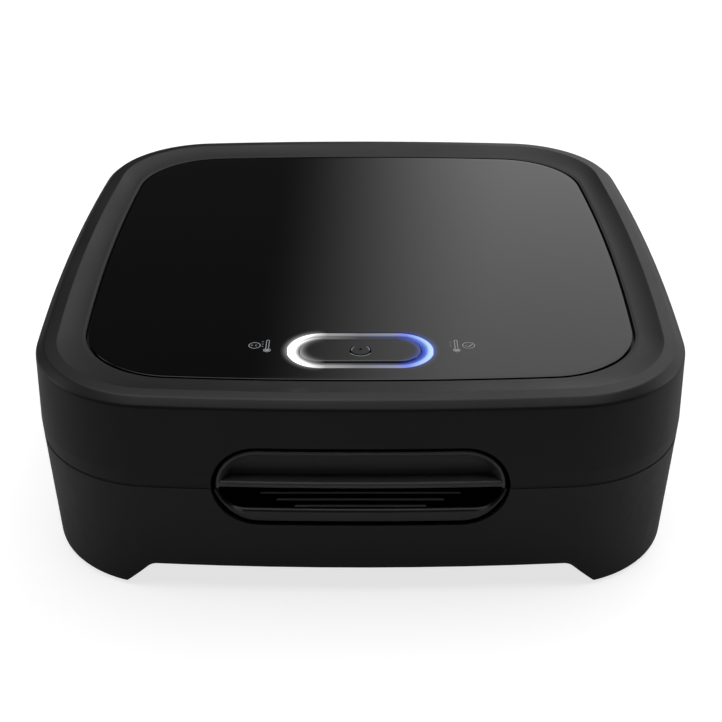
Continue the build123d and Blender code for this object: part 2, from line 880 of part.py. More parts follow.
with BuildPart() as lid_terminal_block:
    with BuildSketch(level(deck_under)):
        with Locations((0, block_y)):
            Rectangle(block_width, block_depth)
    extrude(amount=-lid_block_height)
    with BuildSketch(level(deck_under - lid_block_height)):
        with Locations((0, block_y)):
            with GridLocations(block_pitch, 1, 4, 1):
                Circle(block_hole_radius)
    extrude(amount=lid_block_height / 2, mode=Mode.SUBTRACT)
lid_terminal_block.part.label = "lid_terminal_block"
export_step(lid_terminal_block.part, "parts/lid_terminal_block.step")

lead_runs = [
    ("lower_lead_left", -element_tail_x, element_height, cover_face + block_height),
    ("lower_lead_right", element_tail_x, element_height, cover_face + block_height),
    ("upper_lead_left", -element_tail_x, 2 * split_height - element_height, deck_under - lid_block_height),
    ("upper_lead_right", element_tail_x, 2 * split_height - element_height, deck_under - lid_block_height),
]
for lead_name, lead_x, lead_height, block_mouth in lead_runs:
    with BuildPart() as lead:
        lead_start = element_tail_end + plate_offset_y + terminal_length
        with BuildLine(sideways(lead_x)) as lead_path:
            FilletPolyline(
                (lead_start, lead_height),
                (block_y, lead_height),
                (block_y, block_mouth),
                radius=min(lead_bend, abs(block_mouth - lead_height) * lead_bend_share),
            )
        with BuildSketch(Plane(lead_path.line @ 0, z_dir=lead_path.line % 0)):
            Circle(lead_radius)
        sweep()
    lead.part.label = lead_name
    export_step(lead.part, f"parts/{lead_name}.step")

# Cord inlet: a flanged bush through the base's rear wall, with its nut inside

with BuildPart() as cord_gland:
    with BuildSketch(upright(gland_back - gland_seat)):
        with Locations((gland_x, gland_height)):
            Circle(gland_flange_radius)
    extrude(amount=-gland_flange_thickness)
    with BuildSketch(upright(gland_back - gland_seat)):
        with Locations((gland_x, gland_height)):
            Circle(gland_neck_radius)
    extrude(amount=gland_neck_length)
    with BuildSketch(upright(case_depth)):
        with Locations((gland_x, gland_height)):
            Circle(gland_bore_radius)
    extrude(amount=case_depth, mode=Mode.SUBTRACT)
cord_gland.part.label = "cord_gland"
export_step(cord_gland.part, "parts/cord_gland.step")

with BuildPart() as gland_nut:
    with BuildSketch(upright(gland_back - gland_nut_seat)):
        with Locations((gland_x, gland_height)):
            RegularPolygon(gland_flange_radius, 6)
            Circle(gland_neck_radius + screw_fit, mode=Mode.SUBTRACT)
    extrude(amount=gland_nut_thickness)
gland_nut.part.label = "gland_nut"
export_step(gland_nut.part, "parts/gland_nut.step")

# Hinge pins: they ride up in the base's slotted ears and carry the lid's lugs

for side_name, side in (("left", -1), ("right", 1)):
    with BuildPart() as hinge_pin:
        ear_outside = lug_width / 2 + knuckle_gap + ear_thickness + knuckle_gap / 2
        with BuildSketch(sideways(side * hinge_station - ear_outside)):
            with Locations((hinge_y, hinge_height)):
                Circle(pin_radius)
        extrude(amount=2 * ear_outside)
        for end in (-1, 1):
            with BuildSketch(sideways(side * hinge_station + end * ear_outside)):
                with Locations((hinge_y, hinge_height)):
                    Circle(pin_head_radius)
            extrude(amount=end * pin_head_length)
    hinge_pin.part.label = f"hinge_pin_{side_name}"
    export_step(hinge_pin.part, f"parts/hinge_pin_{side_name}.step")

# Lid casing: wall, bevel, land, dished rim, panel seat, bosses and hinge lugs

with BuildPart() as lid_shell:
    lid_stations = [
        (lid_rim, rim_inset),
        (kink_height, 0),
        (wall_top_height, wall_top_inset),
        (bevel_top_height, bevel_top_inset),
        (crest_height, crest_inset),
    ]
    loft([case_plan(inset, level(h)) for h, inset in lid_stations], ruled=True)
    lid_room = [
        (lid_rim - wall, rim_inset + wall),
        (kink_height, wall),
        (deck_under, wall_top_inset + wall),
    ]
    loft([case_plan(inset, level(h)) for h, inset in lid_room], ruled=True, mode=Mode.SUBTRACT)
    dish_middle = (crest_inset + half_width - panel_width / 2) / 2
    loft(
        [
            panel_plan(0, level(panel_height)),
            case_plan(dish_middle, level(crest_height - dish_mid_drop)),
            case_plan(crest_inset, level(crest_height)),
        ],
        ruled=True,
        mode=Mode.SUBTRACT,
    )
    extrude(panel_plan(0, level(deck_top)), amount=case_width, mode=Mode.SUBTRACT)
    with BuildSketch(level(deck_under)):
        button_slot(ring_growth + deck_fit)
    extrude(amount=2 * deck_thickness, mode=Mode.SUBTRACT)
    with BuildSketch(level(lid_frame_back)):
        add(case_plan(wall / 2))
        add(case_plan(wall + ledge_width), mode=Mode.SUBTRACT)
    extrude(amount=ledge_thickness)
    with BuildSketch(upright(-case_depth)):
        pocket_slot(0)
    extrude(amount=-half_depth - wall - ledge_width, mode=Mode.SUBTRACT)
    with BuildSketch(level(lid_frame_back)):
        add(case_plan(wall))
        with Locations((0, -half_depth)):
            Rectangle(insert_width, 4 * ledge_width, mode=Mode.INTERSECT)
    extrude(amount=ledge_thickness, mode=Mode.SUBTRACT)
    with BuildSketch(level(lid_frame_back)):
        with Locations(*frame_boss_spots):
            Circle(boss_radius)
    extrude(amount=deck_under - lid_frame_back)
    with BuildSketch(level(lid_frame_back)):
        with Locations(*frame_boss_spots):
            Circle(screw_radius + screw_fit)
    extrude(amount=screw_bite + hole_spare, mode=Mode.SUBTRACT)
    with BuildSketch(level(deck_under)):
        with Locations(*housing_screw_spots):
            Circle(boss_radius)
    extrude(amount=-housing_boss_height)
    with BuildSketch(level(deck_under - housing_boss_height)):
        with Locations(*housing_screw_spots):
            Circle(small_screw_radius + screw_fit)
    extrude(amount=housing_boss_height, mode=Mode.SUBTRACT)
    for side in (-1, 1):
        with BuildSketch(sideways(side * hinge_station)):
            with Locations((hinge_y, hinge_height)):
                Circle(notch_radius)
        extrude(amount=notch_half_width, both=True, mode=Mode.SUBTRACT)
        with BuildSketch(sideways(side * hinge_station)):
            with Locations((hinge_y, hinge_height)):
                Circle(lug_radius)
            with BuildLine():
                Polyline(
                    (hinge_y - lug_radius, hinge_height),
                    (hinge_y - lug_radius, kink_height - lug_radius),
                    (station_back - lug_root_inset, kink_height),
                    (station_back - lug_root_inset, lug_root_height),
                    (station_back - lug_face_inset, lug_root_height),
                    (hinge_y + lug_radius, hinge_height + lug_radius),
                    (hinge_y + lug_radius, hinge_height),
                    close=True,
                )
            make_face()
            with Locations((hinge_y, hinge_height)):
                Circle(pin_radius + pin_fit, mode=Mode.SUBTRACT)
        extrude(amount=lug_width / 2, both=True)
lid_shell.part.label = "lid_shell"
export_step(lid_shell.part, "parts/lid_shell.step")

with BuildPart() as lid_screws:
    for spot in frame_boss_spots:
        screw((spot[0], spot[1] + case_y), lid_frame_back - frame_seat, lid_frame_back + screw_bite)
lid_screws.part.label = "lid_screws"
export_step(lid_screws.part, "parts/lid_screws.step")

# Lid handle: the lid's half of the pocket, scooped above a lip to lift by

with BuildPart() as scoop:
    with BuildSketch(upright(-half_depth)):
        pocket_slot(-pocket_groove - scoop_edge)
        with Locations((0, lid_rim + scoop_lip)):
            Rectangle(case_width, case_width, align=(Align.CENTER, Align.MIN), mode=Mode.INTERSECT)
    extrude(amount=scoop_depth + wall, both=True)
    with BuildSketch(sideways(-case_width)):
        scoop_back = scoop_depth - half_depth
        scoop_brow = (insert_set_back - half_depth, handle_top - scoop_edge)
        with BuildLine():
            Line((-case_depth, lid_rim + scoop_lip), (scoop_back - scoop_lip, lid_rim + scoop_lip))
            scoop_turn = RadiusArc(
                (scoop_back - scoop_lip, lid_rim + scoop_lip),
                (scoop_back, lid_rim + 2 * scoop_lip),
                -scoop_lip,
            )
            Line(scoop_turn @ 1, scoop_brow)
            Line(scoop_brow, (-case_depth, handle_top - scoop_edge))
            Line((-case_depth, handle_top - scoop_edge), (-case_depth, lid_rim + scoop_lip))
        make_face()
    extrude(amount=2 * case_width, mode=Mode.INTERSECT)

with BuildPart() as lid_handle:
    with BuildSketch(upright(-case_depth)):
        pocket_slot(-pocket_groove)
    extrude(amount=-half_depth - recess_depth)
    with BuildSketch(sideways(-case_width)):
        with BuildLine():
            Polyline(
                (-case_depth, lid_rim),
                (recess_depth - half_depth, lid_rim),
                (recess_depth - half_depth, lid_rim + handle_floor),
                (scoop_back + handle_floor + wall, lid_rim + handle_floor),
                (scoop_back + handle_floor + wall, handle_top + insert_flange),
                (-case_depth, handle_top + insert_flange),
                close=True,
            )
        make_face()
    extrude(amount=2 * case_width, mode=Mode.INTERSECT)
    with BuildSketch(level(0)):
        add(case_plan(rim_inset + insert_set_back))
        with Locations((0, -half_depth)):
            Rectangle(insert_width, 2 * recess_depth, mode=Mode.INTERSECT)
    extrude(amount=case_width, mode=Mode.INTERSECT)
    with BuildSketch(level(lid_rim)):
        flange_inset = lid_inset(handle_top + insert_flange) + wall + insert_fit
        add(case_plan(flange_inset))
        add(case_plan(flange_inset + insert_flange_thickness), mode=Mode.SUBTRACT)
        with Locations((0, -half_depth)):
            Rectangle(insert_width - 2 * insert_fit, 2 * recess_depth, mode=Mode.INTERSECT)
    extrude(amount=handle_top + insert_flange - lid_rim)
    add(scoop.part, mode=Mode.SUBTRACT)
lid_handle.part.label = "lid_handle"
export_step(lid_handle.part, "parts/lid_handle.step")

# Top panel on its gasket

with BuildPart() as panel_gasket:
    with BuildSketch(level(deck_top)):
        add(panel_plan(-gasket_inset))
        add(panel_plan(-gasket_inset - gasket_width), mode=Mode.SUBTRACT)
    extrude(amount=gasket_thickness)
panel_gasket.part.label = "panel_gasket"
export_step(panel_gasket.part, "parts/panel_gasket.step")

with BuildPart() as top_panel:
    with BuildSketch(level(panel_height - panel_thickness)):
        add(panel_plan(-panel_gap))
        button_slot(ring_growth + light_ring_fit, mode=Mode.SUBTRACT)
    extrude(amount=panel_thickness)
    chamfer(edges().group_by(Axis.Z)[-1], panel_chamfer)
top_panel.part.label = "top_panel"
export_step(top_panel.part, "parts/top_panel.step")

# Power button, the light ring round it and the board below

with BuildPart() as light_ring:
    with BuildSketch(level(panel_height - light_ring_height)):
        button_slot(ring_growth)
        button_slot(ring_growth - light_ring_width, mode=Mode.SUBTRACT)
    extrude(amount=light_ring_height)
light_ring.part.label = "light_ring"
export_step(light_ring.part, "parts/light_ring.step")

with BuildPart() as button_collar:
    with BuildSketch(level(board_face)):
        button_slot(button_fit + collar_wall)
        button_slot(button_fit, mode=Mode.SUBTRACT)
    extrude(amount=panel_height - collar_set_back - board_face)
button_collar.part.label = "button_collar"
export_step(button_collar.part, "parts/button_collar.step")

with BuildPart() as power_button:
    button_top = panel_height + button_proud
    with BuildSketch(level(button_top - button_skirt_depth)):
        button_slot(0)
    extrude(amount=button_skirt_depth)
    chamfer(edges().group_by(Axis.Z)[-1], panel_chamfer)
    with BuildSketch(level(button_top - button_skirt_depth)):
        button_slot(-button_skirt)
    extrude(amount=button_skirt_depth - button_cap, mode=Mode.SUBTRACT)
    with BuildSketch(level(switch_top + plunger_rise)):
        with Locations((0, button_y)):
            Circle(stem_radius)
    extrude(amount=button_top - button_cap - switch_top - plunger_rise)
power_button.part.label = "power_button"
export_step(power_button.part, "parts/power_button.step")

with BuildPart() as switch_plunger:
    with BuildSketch(level(switch_top + plunger_rise)):
        with Locations((0, button_y)):
            Circle(plunger_radius)
    extrude(amount=-plunger_length)
switch_plunger.part.label = "switch_plunger"
export_step(switch_plunger.part, "parts/switch_plunger.step")

with BuildPart() as tactile_switch:
    with BuildSketch(level(board_face)):
        with Locations((0, button_y)):
            Rectangle(switch_size, switch_size)
    extrude(amount=switch_height)
    with BuildSketch(level(switch_top)):
        with Locations((0, button_y)):
            Circle(plunger_radius + plunger_fit)
    extrude(amount=plunger_rise - plunger_length - button_travel - plunger_fit, mode=Mode.SUBTRACT)
tactile_switch.part.label = "tactile_switch"
export_step(tactile_switch.part, "parts/tactile_switch.step")

with BuildPart() as indicator_board:
    with BuildSketch(level(board_back)):
        button_slot(ring_growth + housing_room - insert_fit)
    extrude(amount=board_thickness)
indicator_board.part.label = "indicator_board"
export_step(indicator_board.part, "parts/indicator_board.step")

with BuildPart() as button_housing:
    with BuildSketch(level(housing_back)):
        button_slot(ring_growth + housing_room + housing_wall)
    extrude(amount=deck_under - housing_back)
    with BuildSketch(level(board_back)):
        button_slot(ring_growth + housing_room)
    extrude(amount=deck_under - board_back, mode=Mode.SUBTRACT)
    for side in (-1, 1):
        with BuildSketch(level(deck_under - housing_boss_height)):
            with Locations((side * housing_ear_x, button_y)):
                SlotOverall(housing_ear_length, 2 * boss_radius)
            with Locations((side * housing_screw_x, button_y)):
                Circle(small_screw_radius + insert_fit, mode=Mode.SUBTRACT)
            button_slot(ring_growth + housing_room + housing_wall / 2, mode=Mode.SUBTRACT)
        extrude(amount=-housing_ear_thickness)
button_housing.part.label = "button_housing"
export_step(button_housing.part, "parts/button_housing.step")

with BuildPart() as housing_screws:
    for spot in housing_screw_spots:
        seat = deck_under - housing_boss_height - housing_ear_thickness
        tip = deck_under - small_screw_radius
        place = (spot[0], spot[1] + case_y)
        screw(place, seat, tip, small_screw_radius, small_head_radius, small_head_height)
housing_screws.part.label = "housing_screws"
export_step(housing_screws.part, "parts/housing_screws.step")

for light_name, side in (("heating_leds", -1), ("ready_leds", 1)):
    with BuildPart() as leds:
        ring_middle = ring_growth - light_ring_width / 2
        led_ring_x = button_length / 2 + ring_middle
        led_spots = [
            (side * led_ring_x, button_y),
            (side * (button_length - button_width) / 2, button_y + button_width / 2 + ring_middle),
            (side * (button_length - button_width) / 2, button_y - button_width / 2 - ring_middle),
        ]
        with BuildSketch(level(board_face)):
            with Locations(*led_spots):
                Rectangle(light_ring_width, light_ring_width)
        extrude(amount=led_height)
    leds.part.label = light_name
    export_step(leds.part, f"parts/{light_name}.step")
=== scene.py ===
# %% [markdown]
# A closed sandwich maker, dressed for a studio photograph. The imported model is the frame: it says
# where every rigid piece is, in metres, with the handle towards -Y. This script gives each piece its
# finish, and models again the pieces whose soft edges the eye reads first: the casings, the gloss
# panel, the button with its light, and the handle pocket.

# %% Load the frame
import json
import math
import bpy
import bmesh
import numpy as np
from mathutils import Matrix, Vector

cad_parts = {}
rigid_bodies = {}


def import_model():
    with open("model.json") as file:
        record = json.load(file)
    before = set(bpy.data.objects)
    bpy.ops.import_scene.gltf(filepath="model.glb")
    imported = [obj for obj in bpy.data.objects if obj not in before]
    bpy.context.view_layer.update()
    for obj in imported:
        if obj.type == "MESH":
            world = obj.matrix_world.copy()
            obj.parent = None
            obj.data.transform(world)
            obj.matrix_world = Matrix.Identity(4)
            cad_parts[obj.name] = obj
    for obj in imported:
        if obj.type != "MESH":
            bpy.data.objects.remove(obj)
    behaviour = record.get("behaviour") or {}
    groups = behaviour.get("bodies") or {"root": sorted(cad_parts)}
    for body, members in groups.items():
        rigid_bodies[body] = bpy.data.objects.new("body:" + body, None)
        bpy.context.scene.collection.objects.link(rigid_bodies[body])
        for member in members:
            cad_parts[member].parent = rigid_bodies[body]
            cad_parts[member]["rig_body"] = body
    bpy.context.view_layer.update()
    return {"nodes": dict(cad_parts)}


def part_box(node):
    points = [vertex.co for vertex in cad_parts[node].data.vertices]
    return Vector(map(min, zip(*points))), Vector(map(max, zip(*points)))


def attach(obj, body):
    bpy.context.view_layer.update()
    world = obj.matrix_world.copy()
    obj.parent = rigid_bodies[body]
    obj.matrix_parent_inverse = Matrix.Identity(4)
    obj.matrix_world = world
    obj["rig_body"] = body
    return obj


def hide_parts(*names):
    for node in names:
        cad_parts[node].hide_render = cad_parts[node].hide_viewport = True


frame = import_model()
nodes = frame["nodes"]

# %% [markdown]
# Every size below is read from the frame's boxes, or is a real size that the frame doesn't tell, such
# as the radius of a rounded edge. The casing's plan is a square with bowed sides and round corners,
# and everything on the casing is placed from its middle.

# %% Measure the frame
MM = 0.001
panel_low, panel_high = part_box("top_panel")
button_low, button_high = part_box("power_button")
ring_low, ring_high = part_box("light_ring")
pin_low, pin_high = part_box("hinge_pin_right")
PIN_Y = (pin_low.y + pin_high.y) / 2
PIN_Z = (pin_low.z + pin_high.z) / 2
PANEL_TOP = panel_high.z
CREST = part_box("lid_shell")[1].z

# The casing's half width, depth and bow in millimetres, for the profiles that are written in them.
HALF_WIDTH = 148.0
DEPTH = 302.0
BOW = 7.3
CASE_X = HALF_WIDTH * MM
CASE_DEPTH = DEPTH * MM
CASE_BOW = BOW * MM
CASE_Y = (panel_low.y + panel_high.y) / 2
CASE_FRONT = CASE_Y - CASE_DEPTH / 2
CASE_CORNER = 58.5 * MM
PANEL_CORNER = 43.1 * MM
PANEL_BOW = 5.8 * MM

# Heights in millimetres: the panel's face, the lid's lower edge and the base's upper edge at the
# parting line, where the lid's wall starts to lean in, and the middle of the handle pocket.
TOP = PANEL_TOP / MM
LID_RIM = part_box("lid_handle")[0].z / MM
BASE_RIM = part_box("finger_recess")[1].z / MM
KINK = TOP - 32.2
POCKET_MID = TOP - 38.7
POCKET_HALF_X = 63.2
POCKET_HALF_Z = 20.0
print("casing front", round(CASE_FRONT, 4), "middle", round(CASE_Y, 4), "crest", round(CREST, 4))

# %% [markdown]
# Colours are written as sRGB hex, the way a paint chart gives them, and turned to linear light in one
# place. One helper adds a shader node, sets its plain values and joins its sockets.

# %% Colour and node helpers
def linear(code, alpha=1.0):
    """Linear light from sRGB hex: v / 12.92 up to 0.04045, else ((v + 0.055) / 1.055) to the 2.4."""
    parts = [int(code[i:i + 2], 16) / 255 for i in (1, 3, 5)]
    return tuple(v / 12.92 if v <= 0.04045 else ((v + 0.055) / 1.055) ** 2.4 for v in parts) + (alpha,)


def add_node(tree, kind, settings=None, values=None, links=None):
    """Add one shader node: settings are its properties, values its sockets, links its joined sockets."""
    node = tree.nodes.new("ShaderNode" + kind)
    for name, value in (settings or {}).items():
        setattr(node, name, value)
    for socket, value in (values or {}).items():
        node.inputs[socket].default_value = value
    for socket, source in (links or {}).items():
        tree.links.new(source, node.inputs[socket])
    return node


def start_material(name, values):
    """A material with one Principled shader whose plain sockets hold these values."""
    material = bpy.data.materials.new(name)
    material.use_nodes = True
    tree = material.node_tree
    shader = tree.nodes["Principled BSDF"]
    for socket, value in values.items():
        shader.inputs[socket].default_value = value
    return material, tree, shader


def object_points(tree):
    """The surface's own coordinates in metres, which move with the piece."""
    return add_node(tree, "TexCoord").outputs["Object"]


def noise(tree, points, size, detail, roughness=0.5):
    """A cloudy value from 0 to 1 whose patches are about this many millimetres across."""
    return add_node(tree, "TexNoise",
                    values={"Scale": 1 / (size * MM), "Detail": detail, "Roughness": roughness},
                    links={"Vector": points}).outputs["Fac"]


def vary_roughness(tree, shader, value, start, end, low, high):
    """Roughness goes evenly from low to high as the value goes from start to end."""
    ramp = add_node(tree, "MapRange", links={"Value": value},
                    values={"From Min": start, "From Max": end, "To Min": low, "To Max": high})
    tree.links.new(ramp.outputs["Result"], shader.inputs["Roughness"])


def vary_colour(tree, shader, value, first, second):
    """The base colour goes from first to second as the value goes from 0 to 1."""
    tone = add_node(tree, "Mix", settings={"data_type": "RGBA"}, links={"Factor": value})
    tone.inputs["A"].default_value = first
    tone.inputs["B"].default_value = second
    tree.links.new(tone.outputs["Result"], shader.inputs["Base Color"])


def add_relief(tree, shader, value, strength, depth):
    """The value shades the surface as if it rose by this depth in millimetres."""
    bump = add_node(tree, "Bump", values={"Strength": strength, "Distance": depth * MM},
                    links={"Height": value})
    tree.links.new(bump.outputs["Normal"], shader.inputs["Normal"])

# %% [markdown]
# Moulded plastic is never quite even. A fine spark-eroded grain breaks up its highlight, and a slow,
# wide change in roughness shows where hands and cloths have been. The same recipe serves every
# moulded part: a base colour, a roughness, a grain size in millimetres and how deep the grain is.

# %% Moulded plastic recipe
def moulded(name, colour, roughness, grain_mm, grain_depth, spread=0.06, specular=0.5, fleck=0.15):
    """Moulded plastic: noise at the grain's size drives bump, slow noise drives roughness and tone."""
    material, tree, shader = start_material(name, {
        "IOR": 1.5, "Specular IOR Level": specular,
    })
    points = object_points(tree)
    grain = noise(tree, points, grain_mm, 2.0, 0.6)
    vary_roughness(tree, shader, noise(tree, points, 60, 3.0), 0.3, 0.7,
                   roughness - spread, roughness + spread)
    dark, light = [tuple(c * share for c in linear(colour)[:3]) + (1,) for share in (1 - fleck, 1 + fleck)]
    vary_colour(tree, shader, grain, dark, light)
    add_relief(tree, shader, grain, 0.35, grain_depth)
    return material


# Glass-filled polyamide casing, spark-eroded: a soft broad sheen on near-black.
CASING = moulded("casing satin black", "#141415", 0.44, 0.5, 0.02, specular=0.32)
# The same plastic in the handle pocket, a finer tool finish, a little glossier on its edges, and painted a
# shade lighter than the casing so that the pocket's lip reads brighter: painted light.
HANDLE_PAINTED_LIGHTER = moulded("handle satin black", "#1a1a1b", 0.3, 0.35, 0.012, specular=0.6)
# The lid's grip is the handle's black plastic painted a lighter grey, so that its shaded scoop and its lip
# read brighter: painted light.
GRIP_PAINTED_LIGHT = moulded("grip satin painted lighter", "#48484a", 0.36, 0.35, 0.012, specular=0.5)
# The base's half of the casing comes from another tool, a shade lighter in its grain.
BASE_CASING = moulded("base casing satin black", "#212122", 0.45, 0.5, 0.02, specular=0.34)
# Bottom cover and hidden housings, a coarser grain.
COVER = moulded("cover matt black", "#1c1c1c", 0.6, 0.8, 0.03)
# Heat-proof frame round the plates: dull, slightly brown black.
FRAME = moulded("frame dull black", "#211f1e", 0.55, 0.6, 0.02)
RUBBER = moulded("rubber black", "#151515", 0.78, 0.4, 0.03, specular=0.3)
FOAM = moulded("gasket foam", "#1a1a1a", 0.9, 0.3, 0.05, specular=0.2)
NYLON = moulded("nylon natural", "#d6d2c4", 0.45, 0.5, 0.01, fleck=0.04)
NUT = moulded("nylon black", "#202020", 0.45, 0.5, 0.01)
SILICONE = moulded("lead silicone red", "#8c2620", 0.5, 0.4, 0.01)
CERAMIC = moulded("fuse ceramic", "#e3ddcf", 0.3, 0.4, 0.005, fleck=0.03)
BOARD = moulded("board solder mask", "#1d5a33", 0.35, 0.3, 0.005)
SWITCH = moulded("switch body", "#222222", 0.4, 0.3, 0.01)

# %% [markdown]
# Metals keep the default index. Steel sheet is drawn through rollers, so its scratches run one way:
# a noise stretched along one axis. A tubular element is oxidised, so its colour drifts from grey to
# straw. A non-stick plate is aluminium under a dark, slightly orange-peeled coat.

# %% Metal recipe
def metal(name, colour, roughness, stretch, scratch_mm, depth, metallic=1.0, drift=None):
    """Worked metal: noise stretched by stretch drives bump and roughness, slow noise drifts the colour."""
    material, tree, shader = start_material(name, {"Metallic": metallic})
    points = object_points(tree)
    place = add_node(tree, "Mapping", links={"Vector": points})
    place.inputs["Scale"].default_value = stretch
    lines = noise(tree, place.outputs["Vector"], scratch_mm, 4.0)
    vary_roughness(tree, shader, lines, 0.3, 0.7, roughness - 0.08, roughness + 0.08)
    vary_colour(tree, shader, noise(tree, points, 45, 2.0), linear(colour), linear(drift or colour))
    add_relief(tree, shader, lines, 0.3, depth)
    return material


STEEL = metal("steel plain", "#b4b4b6", 0.35, (1, 8, 8), 0.6, 0.01)
SCREW = metal("screw zinc", "#a3a5a8", 0.38, (1, 1, 1), 0.5, 0.01, drift="#8f8f86")
SHEET = metal("shield galvanised", "#b0b4b6", 0.42, (1, 6, 1), 1.0, 0.01, drift="#9a9fa3")
SHEATH = metal("element oxidised", "#6d6a66", 0.5, (1, 1, 1), 0.8, 0.02, drift="#7c6a4e")
CAN = metal("thermostat can", "#c9c9c6", 0.3, (1, 1, 1), 0.8, 0.005)
COATED = metal("plate non-stick", "#262628", 0.34, (1, 1, 1), 1.2, 0.03, metallic=0.0, drift="#2b2b2d")

# %% [markdown]
# The top panel is high-gloss: a clear hard coat over black. Gloss black shows only what it mirrors, so
# its roughness is very low, with faint wiping marks in it. The button cap is the same plastic, polished
# less, and the light ring is a milky diffuser whose two ends are lit from below.

# %% Gloss finishes
def gloss(name, colour, roughness, smear):
    """Polished plastic: a low roughness that slow noise raises by smear, and a barely felt wave."""
    material, tree, shader = start_material(name, {"IOR": 1.5, "Base Color": linear(colour)})
    wipe = noise(tree, object_points(tree), 35, 5.0, 0.7)
    vary_roughness(tree, shader, wipe, 0.4, 0.75, roughness, roughness + smear)
    add_relief(tree, shader, wipe, 0.02, 0.01)
    return material


# Piano black: nearly all of what the eye sees of it is the room in its surface.
PANEL = gloss("panel piano black", "#040404", 0.05, 0.03)
# The cap's polish is softer, so the room's light spreads over it.
BUTTON = gloss("button satin gloss", "#0c0c0d", 0.16, 0.05)

# %% [markdown]
# The ring is lit from below at its two ends: white at the left, blue at the right, and only a little
# light reaches its straight sides. Its light on what lies beside it is painted: the collar, the glass
# and the cap get a painted glow, an emission that stands in for the spilled light, less with each
# millimetre away. How far a point is from the button's outline is worked out in the material from its
# own coordinates.

# %% Light ring and its painted spill
BUTTON_X = (button_high.x - button_low.x) / 2
BUTTON_Y = (button_high.y - button_low.y) / 2
BUTTON_MID = (button_high.y + button_low.y) / 2
RING_X = (ring_high.x - ring_low.x) / 2


def add_math(tree, operation, first, second=0.0):
    """One Math node on two inputs, each a plain number or another node's output."""
    values = {i: v for i, v in enumerate((first, second)) if isinstance(v, (int, float))}
    links = {i: v for i, v in enumerate((first, second)) if not isinstance(v, (int, float))}
    return add_node(tree, "Math", {"operation": operation}, values, links).outputs[0]


def pill_distance(tree):
    """Millimetres outside the button's outline: the length of (|x| - straight, at least 0, and y from
    the button's middle), less the round end's radius. Also gives the points' x in metres."""
    parts = add_node(tree, "SeparateXYZ", links={"Vector": object_points(tree)})
    along = add_math(tree, "ABSOLUTE", parts.outputs["X"])
    over = add_math(tree, "MAXIMUM", add_math(tree, "SUBTRACT", along, BUTTON_X - BUTTON_Y), 0.0)
    across = add_math(tree, "SUBTRACT", parts.outputs["Y"], BUTTON_MID)
    square = add_math(tree, "ADD", add_math(tree, "MULTIPLY", over, over),
                      add_math(tree, "MULTIPLY", across, across))
    reach = add_math(tree, "SUBTRACT", add_math(tree, "SQRT", square), BUTTON_Y)
    return add_math(tree, "MULTIPLY", reach, 1000.0), parts.outputs["X"]


def add_glow(material, stops, near, far, strength, power=1.0):
    """Light on a surface: its colour and level follow x by the stops, and it fades, raised to power,
    from all at near millimetres outside the button's outline to none at far."""
    tree = material.node_tree
    shader = tree.nodes["Principled BSDF"]
    distance, x = pill_distance(tree)
    fade = add_node(tree, "MapRange",
                    values={"From Min": far, "From Max": near}, links={"Value": distance}).outputs["Result"]
    fade = add_math(tree, "POWER", fade, power)
    along = add_node(tree, "MapRange",
                     values={"From Min": -RING_X, "From Max": RING_X}, links={"Value": x})
    tint = add_node(tree, "ValToRGB", links={"Fac": along.outputs["Result"]})
    ramp = tint.color_ramp
    while len(ramp.elements) < len(stops):
        ramp.elements.new(0.5)
    for element, (place, code, level) in zip(ramp.elements, stops):
        element.position = place
        element.color = tuple(c * level for c in linear(code)[:3]) + (1,)
    tree.links.new(tint.outputs["Color"], shader.inputs["Emission Color"])
    tree.links.new(add_math(tree, "MULTIPLY", fade, strength), shader.inputs["Emission Strength"])


# The diffuser is milky polycarbonate, so even unlit it is pale.
RING = moulded("ring diffuser", "#55585e", 0.35, 0.8, 0.01, fleck=0.02)
add_glow(RING, [(0.0, "#ffffff", 0.6), (0.1, "#ffffff", 0.3), (0.18, "#ffffff", 0.14),
                (0.27, "#f0f0f0", 0.05), (0.5, "#d2d4d8", 0.03), (0.73, "#c0c8ff", 0.05),
                (0.82, "#5f7cff", 0.14), (0.91, "#8fb4ff", 0.17), (1.0, "#a6ccff", 0.19)],
         4.0, 1.7, 6.0)
# The collar is black; the ring's light on its slope is a painted glow, an emission that stands in for it.
COLLAR = moulded("collar black", "#070707", 0.4, 0.3, 0.01)
PAINTED_SPILL = [(0.0, "#ffffff", 1.0), (0.12, "#ffffff", 1.0), (0.24, "#ffffff", 0.2), (0.5, "#c8ccd8", 0.06),
         (0.74, "#5c82ff", 0.15), (0.86, "#2f5cff", 0.8), (1.0, "#3a66ff", 1.0)]
add_glow(COLLAR, PAINTED_SPILL, 2.6, 0.0, 1.3, power=1.4)
# The ring's light on the glass and on the cap is a painted glow too, an emission that fades away from the
# button's outline.
PAINTED_HALO = [(0.0, "#ffffff", 1.0), (0.1, "#ffffff", 0.8), (0.26, "#ffffff", 0.0), (0.5, "#000000", 0.0),
        (0.76, "#3a66ff", 0.0), (0.9, "#3a66ff", 0.7), (1.0, "#5f86ff", 1.0)]
add_glow(PANEL, PAINTED_HALO, 5.2, 9.5, 0.4, power=2.8)
add_glow(BUTTON, PAINTED_HALO, 0.5, -4.5, 0.5, power=2.5)
print("lit finishes", [m.name for m in (RING, COLLAR, PANEL, BUTTON)])

# %% [markdown]
# New surfaces are worked out as whole arrays. A closed outline of the casing is the base for most of
# them: four gently bowed sides joined by round corners that touch them smoothly. Every inset of it has
# the same number of points in the same order, so two insets can be joined by a strip of faces.

# %% Outline of the casing
SIDE_STEPS = 40
CORNER_STEPS = 28


